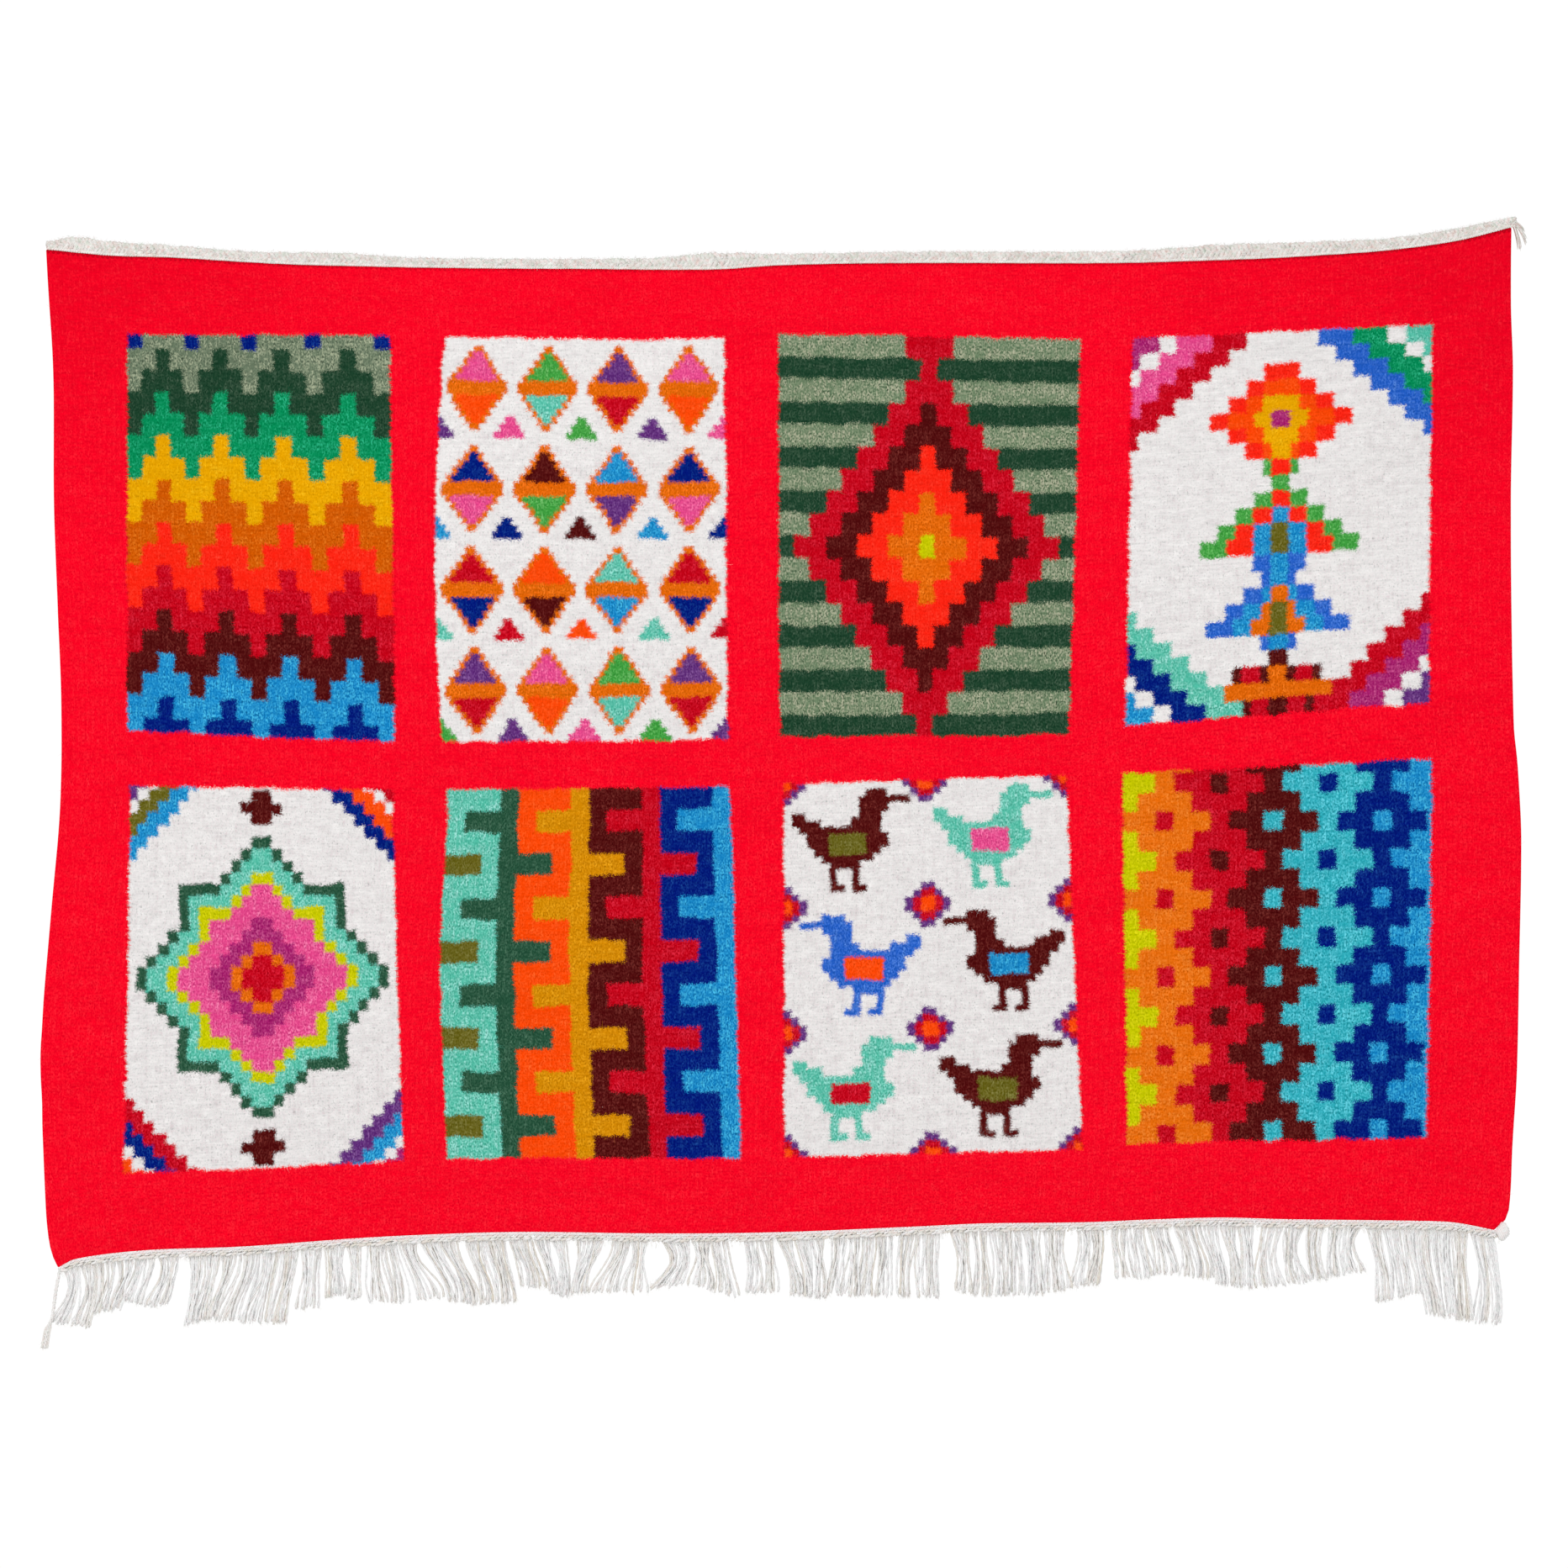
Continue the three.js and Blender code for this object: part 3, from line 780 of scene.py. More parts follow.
class NestedLozenge(Panel):
    """Stepped lozenges nested in each other over level stripes in two greens."""

    def motif(self, wiring: Wiring, across: Number, down: Number) -> Number:
        """Dye place at each cell of the panel.

        Args:
            wiring: tree to add to.
            across: column of the panel, in cells.
            down: row of the panel, in cells.

        Returns:
            The dye place.
        """
        step = (down / 8).floor()
        reach = ((across / 6).floor() - 9).size() + ((step - 1).size() - 8).size()
        rings = self.pick(
            wiring, reach, Yarn.LIME, Yarn.OCHRE, Yarn.OCHRE, Yarn.VERMILION, Yarn.VERMILION,
            Yarn.BROWN, Yarn.BROWN, Yarn.CRIMSON, Yarn.CRIMSON,
        )
        stripes = wiring.choose(step.within(2), self.dye(Yarn.SAGE), self.dye(Yarn.BOTTLE))
        return wiring.choose(reach.above(8.5), rings, stripes)


class CombTeeth(Panel):
    """Four upright combs whose teeth reach into the grounds on both sides."""

    def motif(self, wiring: Wiring, across: Number, down: Number) -> Number:
        """Dye place at each cell of the panel.

        Args:
            wiring: tree to add to.
            across: column of the panel, in cells.
            down: row of the panel, in cells.

        Returns:
            The dye place.
        """
        unit = (across / 7).floor()
        place, turn = unit.within(4), (down / 8).floor().within(4)
        zone = (unit / 4).floor()
        left_tooth = turn.near(1, 0.1) * place.above(0.5)
        right_tooth = turn.near(3, 0.1) * place.below(1.5)
        spine = place.above(2.5).larger(left_tooth)
        ground = self.pick(wiring, zone, Yarn.MINT, Yarn.ORANGE, Yarn.BROWN, Yarn.NAVY)
        comb = self.pick(
            wiring, zone + 1 - right_tooth, Yarn.OLIVE, Yarn.FOREST, Yarn.MUSTARD, Yarn.CRIMSON,
            Yarn.SKY)
        return wiring.choose(spine.larger(right_tooth), ground, comb)


class CrossColumns(Panel):
    """Upright columns of interlocking crosses, each with a small square at its middle."""

    def motif(self, wiring: Wiring, across: Number, down: Number) -> Number:
        """Dye place at each cell of the panel.

        Args:
            wiring: tree to add to.
            across: column of the panel, in cells.
            down: row of the panel, in cells.

        Returns:
            The dye place.
        """
        unit = across / 6 + 0.73
        slant = across * 0.046
        beat = ((down - slant) * 19 * wiring.math("DIVIDE", 1, self.rows - slant)).floor().turned(2)
        side = unit.turned(3)
        even, odd = ((unit + 3) / 6).floor() * 2, (unit / 6).floor() * 2 + 1
        column = wiring.choose((side + beat).below(2.5), odd, even)
        square = side.below(0.5) * beat.below(0.5) + side.above(2.5) * beat.above(1.5)
        return self.pick(
            wiring, column + square, Yarn.LIME, Yarn.AMBER, Yarn.CRIMSON, Yarn.BROWN,
            Yarn.TURQUOISE, Yarn.NAVY, Yarn.SKY, Yarn.SKY,
        )


class PyramidLattice(Panel):
    """Pairs of ochre-edged stepped pyramids on white, with a small cap between each four."""

    def motif(self, wiring: Wiring, across: Number, down: Number) -> Number:
        """Dye place at each cell of the panel.

        Args:
            wiring: tree to add to.
            across: column of the panel, in cells.
            down: row of the panel, in cells.

        Returns:
            The dye place.
        """
        step, rise = (across.turned(14) / 2).floor(), (down.turned(18) / 2.5715).floor()
        far = step + rise
        lower = (down / 18).floor().within(2)
        outer = far.below(6)
        shift = outer * 0.5
        place = (across / 28 + shift).floor() * 3 + (down / 36 + shift).floor() * 5
        wool = (place + outer + lower * 4 * (1 - outer)).within(9)
        dye = self.pick(
            wiring, wool, Yarn.PINK, Yarn.CRIMSON, Yarn.SKY, Yarn.LEAF, Yarn.ORANGE, Yarn.NAVY,
            Yarn.PURPLE, Yarn.MINT, Yarn.BROWN)
        filled = (far.below(2.5) * lower).larger(far.above(7.5) * rise.below(5.5))
        edge = far.near(7, 0.1).larger(rise.above(5.5) * far.above(6.5))
        dye = wiring.choose(filled, self.dye(Yarn.WHITE), dye)
        return wiring.choose(edge, dye, self.dye(Yarn.OCHRE))


# Half-widths of the tree's four nested parts in chart cells, a row for each six cells down
TREE_ROWS = (
    (0, 0, 0, 0), (0, 0, 0, 0), (6, 0, 0, 0), (12, 6, 0, 0), (18, 12, 6, 0), (24, 18, 9, 3),
    (18, 12, 6, 0), (12, 6, 3, 0), (6, 3, 0, 0), (3, 0, 0, 0), (9, 3, 0, 0), (15, 9, 3, 0),
    (21, 15, 9, 3), (27, 18, 9, 3), (9, 3, 0, 0), (6, 3, 0, 0), (12, 6, 3, 0), (18, 12, 6, 3),
    (24, 15, 9, 3), (6, 3, 0, 0), (3, 0, 0, 0), (15, 12, 6, 3), (18, 18, 18, 18), (12, 9, 3, 0),
)


class FloweringTree(Panel):
    """Stepped tree with one large bloom, in a pot, between stepped bands in the corners."""

    def motif(self, wiring: Wiring, across: Number, down: Number) -> Number:
        """Dye place at each cell of the panel.

        Args:
            wiring: tree to add to.
            across: column of the panel, in cells.
            down: row of the panel, in cells.

        Returns:
            The dye place.
        """
        row = (down / 6).floor()
        side = (across - self.columns / 2).size()
        layers = [side.below(width) for width in wiring.numbers(row, TREE_ROWS, 27)]
        level = layers[0] + layers[1] + layers[2] + layers[3]
        tree = self.pick(
            wiring, ((row - 2) / 6).floor() * 4 + level - 1,
            Yarn.VERMILION, Yarn.ORANGE, Yarn.YELLOW, Yarn.MAGENTA,
            Yarn.LEAF, Yarn.VERMILION, Yarn.SKY, Yarn.OLIVE,
            Yarn.ROYAL, Yarn.SKY, Yarn.OCHRE, Yarn.OLIVE,
            Yarn.BROWN, Yarn.CRIMSON, Yarn.BROWN, Yarn.OCHRE,
        )
        reach = 8 - (side / 6).floor() + row.smaller(23 - row)
        dye = self.corner_bands(
            wiring, across, down, reach,
            (Yarn.MAGENTA, Yarn.PINK, Yarn.CRIMSON), (Yarn.MINT, Yarn.GREEN, Yarn.ROYAL),
            (Yarn.SKY, Yarn.NAVY, Yarn.MINT), (Yarn.PURPLE, Yarn.MAGENTA, Yarn.CRIMSON))
        return wiring.choose(level.above(0.5), dye, tree)


class Rosette(Panel):
    """Large stepped rosette of eight points on white, between stepped bands in the corners."""

    def motif(self, wiring: Wiring, across: Number, down: Number) -> Number:
        """Dye place at each cell of the panel.

        Args:
            wiring: tree to add to.
            across: column of the panel, in cells.
            down: row of the panel, in cells.

        Returns:
            The dye place.
        """
        step = ((across - self.columns / 2).size() / 4).floor()
        rise = ((down - self.rows / 2).size() / 4.2).floor()
        both = step + rise
        ring = step.larger(rise).smaller(both / 1.5).floor()
        dye = self.corner_bands(
            wiring, across, down, 28 - both,
            (Yarn.PURPLE, Yarn.OLIVE, Yarn.SKY), (Yarn.CRIMSON, Yarn.ORANGE, Yarn.NAVY),
            (Yarn.ORANGE, Yarn.NAVY, Yarn.CRIMSON), (Yarn.MAGENTA, Yarn.SKY, Yarn.PURPLE))
        rosette = self.pick(
            wiring, ring, Yarn.CRIMSON, Yarn.OCHRE, Yarn.MAGENTA, Yarn.PINK, Yarn.PINK, Yarn.LIME,
            Yarn.MINT, Yarn.FOREST)
        dye = wiring.choose(ring.below(7.5), dye, rosette)
        bud = step + (rise - 14).size()
        return wiring.choose(bud.below(1.5), dye, self.dye(Yarn.BROWN))


# Bird facing right in a lattice of 19 steps: body from and to, then legs or tail from and to
BIRD_ROWS = (
    (0, 0, 0, 0), (11, 14, 0, 0), (10, 17, 0, 0), (10, 14, 0, 0), (10, 13, 1, 3), (9, 13, 1, 5),
    (2, 13, 0, 0), (3, 14, 0, 0), (3, 14, 0, 0), (4, 13, 0, 0), (5, 12, 0, 0), (6, 10, 0, 0),
    (6, 7, 9, 10), (6, 7, 9, 10), (6, 8, 9, 11), (0, 0, 0, 0), (0, 0, 0, 0),
)


class BirdRows(Panel):
    """Pairs of stepped birds on white, with lozenges between them."""

    def motif(self, wiring: Wiring, across: Number, down: Number) -> Number:
        """Dye place at each cell of the panel.

        Args:
            wiring: tree to add to.
            across: column of the panel, in cells.
            down: row of the panel, in cells.

        Returns:
            The dye place.
        """
        wide, tall = 57, 45.34
        lone, turn = (across / wide).floor(), (down / tall).floor()
        row = (down.within(tall) * (17 / tall)).floor()
        place = (across.within(wide) / 3).floor()
        place = wiring.choose(turn.within(2), place, 18 - place)
        body_from, body_to, limb_from, limb_to = wiring.numbers(row, BIRD_ROWS, 19)
        inside = (place - body_from).above(-0.5) * (body_to - place).above(0.5)
        limb = (place - limb_from).above(-0.5) * (limb_to - place).above(0.5)
        wing = place.near(8, 2.1) * row.near(8, 1.1)
        wool = (lone + turn * 2).within(5)
        birds = self.pick(wiring, wool, Yarn.BROWN, Yarn.MINT, Yarn.ROYAL, Yarn.BROWN, Yarn.MINT)
        wings = self.pick(wiring, wool, Yarn.OLIVE, Yarn.PINK, Yarn.ORANGE, Yarn.SKY, Yarn.CRIMSON)
        reach = (across.turned(wide / 2) / 3).floor() + (down.turned(tall / 2) / 2.667).floor()
        small = self.pick(wiring, reach, Yarn.ORANGE, Yarn.CRIMSON, Yarn.PURPLE)
        dye = wiring.choose(reach.below(2.5), self.dye(Yarn.WHITE), small)
        dye = wiring.choose(inside.larger(limb), dye, birds)
        return wiring.choose(wing, dye, wings)


PANELS: tuple[Panel, ...] = (
    SteppedBands(32, 102, 30, 144), PyramidLattice(155, 112, 30, 144),
    NestedLozenge(287, 114, 30, 144), FloweringTree(421, 102, 30, 144),
    Rosette(32, 102, 192, 136), CombTeeth(155, 112, 192, 136),
    BirdRows(287, 114, 192, 136), CrossColumns(421, 102, 192, 136),
)


def new_group(
    name: str, inputs: dict[str, str], outputs: dict[str, str],
) -> tuple[Wiring, list, list]:
    """Starts a shader node group.

    Args:
        name: of the group.
        inputs: socket kind by name.
        outputs: socket kind by name.

    Returns:
        Its wiring, the sockets that come in and the sockets to fill.
    """
    tree = bpy.data.node_groups.new(name, "ShaderNodeTree")
    for title, kind in inputs.items():
        tree.interface.new_socket(title, in_out="INPUT", socket_type="NodeSocket" + kind)
    for title, kind in outputs.items():
        tree.interface.new_socket(title, in_out="OUTPUT", socket_type="NodeSocket" + kind)
    entry, end = tree.nodes.new("NodeGroupInput"), tree.nodes.new("NodeGroupOutput")
    return Wiring(tree), entry.outputs, end.inputs


@dataclass(frozen=True)
class WeaversChart:
    """The woven pattern as a node group: the wool at each cell of the chart.

    The joins between wools are furry, wander a little, and step by warps and by picks. Sizes are
    in cells of the chart, and fineness is waves to a cell.
    """

    fuzz: float = 4.4
    fuzz_fineness: float = 3.2
    drift: float = 2.6
    drift_fineness: float = 0.11
    tooth: float = 0.5
    tooth_height: float = 2.9
    picks: float = 1.6
    slit_share: float = 0.62

    def build(self) -> bpy.types.NodeTree:
        """Lays the group.

        Returns:
            Group that takes a place in the chart and gives a wool's colour, its paler fibres, how
            much they show and where the weave has slits.
        """
        wiring, entry, end = new_group(
            "weavers_chart", {"Chart": "Vector"},
            {"Wool": "Color", "Fleck": "Color", "Melange": "Float", "Slit": "Float"})
        across, down, warp = wiring.parts(entry["Chart"])
        flat = wiring.vector(across, down)
        fuzz_x, fuzz_y = wiring.wander(flat, self.fuzz_fineness, 1.0)
        drift_x, drift_y = wiring.wander(flat, self.drift_fineness, 1.5)
        by_warps = (wiring.lot(warp.floor()) - 0.5) * self.tooth
        slant = (down / self.tooth_height).within(1)
        by_picks = (wiring.lot((down * self.picks).floor() + 900) - slant) * self.tooth
        across = across + fuzz_x * self.fuzz + drift_x * self.drift + by_picks
        down = down + fuzz_y * self.fuzz + drift_y * self.drift + by_warps
        dye: Amount = Panel.dye(Yarn.RED)
        slit: Amount = 0.0
        for panel in PANELS:
            dye = panel.weave(wiring, across, down, dye)
            edge = (across - panel.column - panel.columns / 2).size() - panel.columns / 2
            beside = down.near(panel.row + panel.rows / 2, panel.rows / 2)
            # Where the slits between the panels open, which the cloth's finish darkens as painted
            # shade
            slit = edge.near(0.3, 0.7) * beside + slit
        for title, key in (("Wool", "colour"), ("Fleck", "fleck")):
            ramp = wiring.node("ValToRGB")
            ramp.color_ramp.interpolation = "CONSTANT"
            while len(ramp.color_ramp.elements) < len(Yarn):
                ramp.color_ramp.elements.new(1.0)
            for yarn in Yarn:
                element = ramp.color_ramp.elements[yarn.value]
                element.position = yarn.value / DYE_SLOTS
                element.color = (*linear(getattr(DYES[yarn], key))[:3], DYES[yarn].melange)
            wiring.feed(ramp.inputs[0], dye)
            wiring.feed(end[title], ramp.outputs["Color"])
        wiring.feed(end["Melange"], ramp.outputs["Alpha"])
        wiring.feed(end["Slit"], slit * slant.above(self.slit_share))
        return wiring.tree


@dataclass(frozen=True)
class BrushedWool:
    """Carded and brushed wool as a node group, shared by the cloth and its yarns."""

    coarse_fineness: float = 0.21
    coarse_share: float = 0.3
    fleck_span: tuple[float, float] = (0.45, 0.64)
    fleck_strength: float = 1.7
    hollow_span: tuple[float, float] = (0.52, 0.34)
    hollow_depth: float = 0.06
    melange_depth: float = 0.55

    def build(self) -> bpy.types.NodeTree:
        """Lays the group.

        Returns:
            Group that flecks a wool's colour and gives the height of its nap.
        """
        wiring, entry, end = new_group(
            "brushed_wool",
            {"Wool": "Color", "Fleck": "Color", "Melange": "Float", "Place": "Vector",
             "Fineness": "Float"},
            {"Colour": "Color", "Nap": "Float"})
        scaled = wiring.node("VectorMath", operation="SCALE")
        wiring.feed(scaled.inputs[0], entry["Place"])
        wiring.feed(scaled.inputs["Scale"], entry["Fineness"])
        fine = wiring.noise(scaled.outputs[0], 1.0, 5.0)
        coarse = wiring.noise(scaled.outputs[0], self.coarse_fineness, 3.0)
        mixed = fine * (1 - self.coarse_share) + coarse * self.coarse_share
        melange = Number(wiring, entry["Melange"])
        share = wiring.spread(mixed, *self.fleck_span) * melange
        colour = wiring.blend(share * self.fleck_strength, entry["Wool"], entry["Fleck"])
        depth = melange * self.melange_depth + self.hollow_depth
        shade = 1 - wiring.spread(fine, *self.hollow_span) * depth
        wiring.feed(end["Colour"], wiring.shaded(colour, shade))
        wiring.feed(end["Nap"], mixed)
        return wiring.tree


class WoolGroups:
    """The node groups that the finishes share, each built once."""

    def __init__(self) -> None:
        """Builds them."""
        self.chart = WeaversChart().build()
        self.wool = BrushedWool().build()


class MatteWool:
    """A wool material in the making: its nodes, its shader and its relief."""

    def __init__(self, name: str, bump: float = 0.0) -> None:
        """Starts the material.

        Args:
            name: of the material.
            bump: depth of its relief in metres, or 0 for none.
        """
        self.material = bpy.data.materials.new(name)
        self.material.use_nodes = True
        tree = self.material.node_tree
        self.wiring = Wiring(tree)
        self.shader = next(node for node in tree.nodes if node.type == "BSDF_PRINCIPLED")
        self.shader.inputs["Roughness"].default_value = 0.95
        self.shader.inputs["Specular IOR Level"].default_value = 0.0
        self.bump = bump

    def group(self, tree: bpy.types.NodeTree) -> bpy.types.Node:
        """Places a shared group.

        Args:
            tree: the group.

        Returns:
            Its node in this material.
        """
        made = self.wiring.node("Group")
        made.node_tree = tree
        return made

    def dress(
        self, colour: bpy.types.NodeSocket,
        height: Union[Number, bpy.types.NodeSocket, None] = None,
    ) -> bpy.types.Material:
        """Ends the material.

        Args:
            colour: its base colour.
            height: height of its relief, where it has any.

        Returns:
            The material.
        """
        self.wiring.feed(self.shader.inputs["Base Color"], colour)
        if self.bump:
            relief = self.wiring.node("Bump")
            relief.inputs["Strength"].default_value = 1.0
            relief.inputs["Distance"].default_value = self.bump
            self.wiring.feed(relief.inputs["Height"], height)
            self.wiring.feed(self.shader.inputs["Normal"], relief.outputs["Normal"])
        return self.material


@dataclass(frozen=True)
class KilimWeave:
    """Woven field: ribs over the warps, in the wools of the chart.

    Each unevenness is noise that is stretched along the weft or the warp. Its field gives the waves
    to a cell across and down, or to a warp and a cell for tick and beat. Depths are shares of the
    shade, and bump is in metres.
    """

    bump: float = 0.0009
    nap_place: tuple[float, float] = (1.1, 0.7)
    nap_fineness: float = 1.6
    streak: tuple[float, float] = (0.02, 0.9)
    cloud: tuple[float, float] = (0.035, 0.09)
    dash: tuple[float, float] = (0.3, 1.3)
    patch: tuple[float, float] = (0.13, 0.32)
    tick: tuple[float, float] = (1.7, 0.42)
    speck: tuple[float, float] = (0.5, 0.5)
    beat: tuple[float, float] = (1.0, 1.1)
    base_shade: float = 0.83
    slit_painted_shade: float = 0.22
    seam_depth: float = 0.3
    lint: Colour = (236, 214, 200)

    def build(self, groups: WoolGroups) -> bpy.types.Material:
        """Makes the material.

        Args:
            groups: the shared groups.

        Returns:
            The material.
        """
        wool_material = MatteWool("kilim_weave", self.bump)
        wiring = wool_material.wiring
        spread = wiring.spread
        chart = wiring.node("Attribute", attribute_name="chart").outputs["Vector"]
        across, down, warp = wiring.parts(chart)
        pattern = wool_material.group(groups.chart)
        wiring.feed(pattern.inputs["Chart"], chart)
        slit = Number(wiring, pattern.outputs["Slit"])

        def uneven(along: Number, fineness: tuple[float, float], detail: float) -> Number:
            """Noise stretched along the weft or the warp."""
            place = wiring.vector(along * fineness[0], down * fineness[1])
            return wiring.noise(place, 1.0, detail)

        # Rib profile over each warp: it raises the relief, and it also paints the crests lighter
        # and the valleys darker as painted highlight and shade
        rib = wiring.math("SINE", warp.within(1) * math.pi)
        streak, cloud = uneven(across, self.streak, 3.0), uneven(across, self.cloud, 3.0)
        dash, patch = uneven(across, self.dash, 2.0), uneven(across, self.patch, 2.0)
        tick = spread(uneven(warp, self.tick, 1.0), 0.45, 0.7)
        # Painted shade of the drag folds at the two upper corners: towards them the cloth is
        # painted darker and less flecked
        painted_corner_shade = spread((across - 277).size(), 140, 300) * spread(down, 110, -20)

        # How much the pale fibres show: real unevenness of the dye, more towards the foot, less at
        # the upper corners as painted shade, and more on the rib crests as painted highlight
        fleck_and_painted_light = spread(down, -60, 380) * 0.4 + spread(cloud, 0.3, 0.7) * 0.5 - painted_corner_shade * 0.5
        fleck_and_painted_light = fleck_and_painted_light + spread(patch, 0.35, 0.68) * 0.8 + tick * 0.9
        fleck_and_painted_light = fleck_and_painted_light * (rib * 0.6 + 0.55)
        wool = wool_material.group(groups.wool)
        for title in ("Wool", "Fleck"):
            wiring.feed(wool.inputs[title], pattern.outputs[title])
        wiring.feed(wool.inputs["Melange"], Number(wiring, pattern.outputs["Melange"]) * fleck_and_painted_light)
        nap_across, nap_down = self.nap_place
        wiring.feed(wool.inputs["Place"], wiring.vector(across * nap_across, down * nap_down))
        wool.inputs["Fineness"].default_value = self.nap_fineness

        # Shade of the colour: painted shade in the rib valleys (the first term) and at the upper
        # corners, with the real unevenness of the dye in streaks, clouds, dashes and ticks
        shade = spread(rib, 0.0, 0.8) * 0.04 + spread(streak, 0.3, 0.7) * 0.06 + self.base_shade
        shade = shade + spread(cloud, 0.25, 0.75) * 0.08 + spread(dash, 0.3, 0.7) * 0.14
        shade = shade - painted_corner_shade * 0.2 + tick * 0.08
        # Darker in a row of teeth along the top seam, and painted shade where the slits between the
        # panels open
        shade = shade - down.below(rib * 0.9 + 0.5) * self.seam_depth - slit * self.slit_painted_shade
        colour = wiring.shaded(wool.outputs["Colour"], shade)
        lint = spread(uneven(across, self.speck, 1.0), 0.86, 0.885)
        nap, beat = Number(wiring, wool.outputs["Nap"]), uneven(warp, self.beat, 1.0)
        return wool_material.dress(
            wiring.blend(lint, colour, linear(self.lint)), rib * 0.2 + nap * 0.6 + beat * 0.3)


@dataclass(frozen=True)
class KilimNap:
    """Raised fibres of the cloth, each in the wool that it grows from."""

    flecked: float = 0.3

    def build(self, groups: WoolGroups) -> bpy.types.Material:
        """Makes the material.

        Args:
            groups: the shared groups.

        Returns:
            The material.
        """
        wool_material = MatteWool("kilim_nap")
        wiring = wool_material.wiring
        pattern = wool_material.group(groups.chart)
        chart = wiring.node("Attribute", attribute_name="chart").outputs["Vector"]
        wiring.feed(pattern.inputs["Chart"], chart)
        share = Number(wiring, pattern.outputs["Melange"]) * self.flecked
        return wool_material.dress(
            wiring.blend(share, pattern.outputs["Wool"], pattern.outputs["Fleck"]))


@dataclass(frozen=True)
class UndyedYarn:
    """Undyed wool of the heading and the fringe.

    Fields are the material's name, its main colour, the colour of the darker fibres, the waves of
    its nap to a metre, how much the darker fibres show, how much it strays to pink and to green,
    and the depth of its relief in metres.
    """

    name: str
    wool_colour: Colour
    fleck: Colour
    fineness: float
    mixed: float = 0.3
    tinted: float = 0.3
    bump: float = 0.0
    tint_fineness: float = 330.0
    tints: tuple[tuple[float, float, Colour], ...] = (
        (0.52, 0.72, (255, 236, 234)), (0.48, 0.3, (238, 248, 240)))

    def build(self, groups: WoolGroups) -> bpy.types.Material:
        """Makes the material.

        Args:
            groups: the shared groups.

        Returns:
            The material.
        """
        wool_material = MatteWool(self.name, self.bump)
        wiring = wool_material.wiring
        place = wiring.node("TexCoord").outputs["Object"]
        tone = Number(wiring, wiring.node("Attribute", attribute_name="tone").outputs["Fac"])
        first = wiring.blend(tone, linear(self.wool_colour), linear(self.fleck))
        hue = wiring.noise(place, self.tint_fineness)
        for low, high, tint in self.tints:
            share = wiring.spread(hue, low, high) * self.tinted
            first = wiring.blend(share, first, linear(tint), "MULTIPLY")
        wool = wool_material.group(groups.wool)
        wiring.feed(wool.inputs["Wool"], first)
        wool.inputs["Fleck"].default_value = linear(self.fleck)
        wool.inputs["Melange"].default_value = self.mixed
        wool.inputs["Fineness"].default_value = self.fineness
        wiring.feed(wool.inputs["Place"], place)
        return wool_material.dress(wool.outputs["Colour"], wool.outputs["Nap"])


FRINGE_WOOL = UndyedYarn("fringe_wool", (247, 247, 248), (226, 216, 198), 500.0, mixed=0.05)
FRINGE_FLUFF_WOOL = UndyedYarn("fringe_fluff_wool", (252, 252, 252), (232, 226, 214), 900.0)
HEADING_WOOL = UndyedYarn(
    "heading_wool", (254, 252, 250), (186, 174, 160), 500.0, mixed=0.35, tinted=1.0, bump=0.0004)
HEADING_FUZZ_WOOL = UndyedYarn(
    "heading_fuzz_wool", (255, 255, 255), (150, 132, 122), 900.0, mixed=0.15, tinted=1.0)


def finished(
    name: str, mesh: bpy.types.Mesh, material: bpy.types.Material,
) -> bpy.types.Object:
    """Object of a finished mesh, in the scene.

    Args:
        name: of the object.
        mesh: its mesh, in place.
        material: its finish.

    Returns:
        The object, riding on the part.
    """
    piece = bpy.data.objects.new(name, mesh)
    bpy.context.scene.collection.objects.link(piece)
    mesh.materials.clear()
    mesh.materials.append(material)
    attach(piece, "root")
    return piece


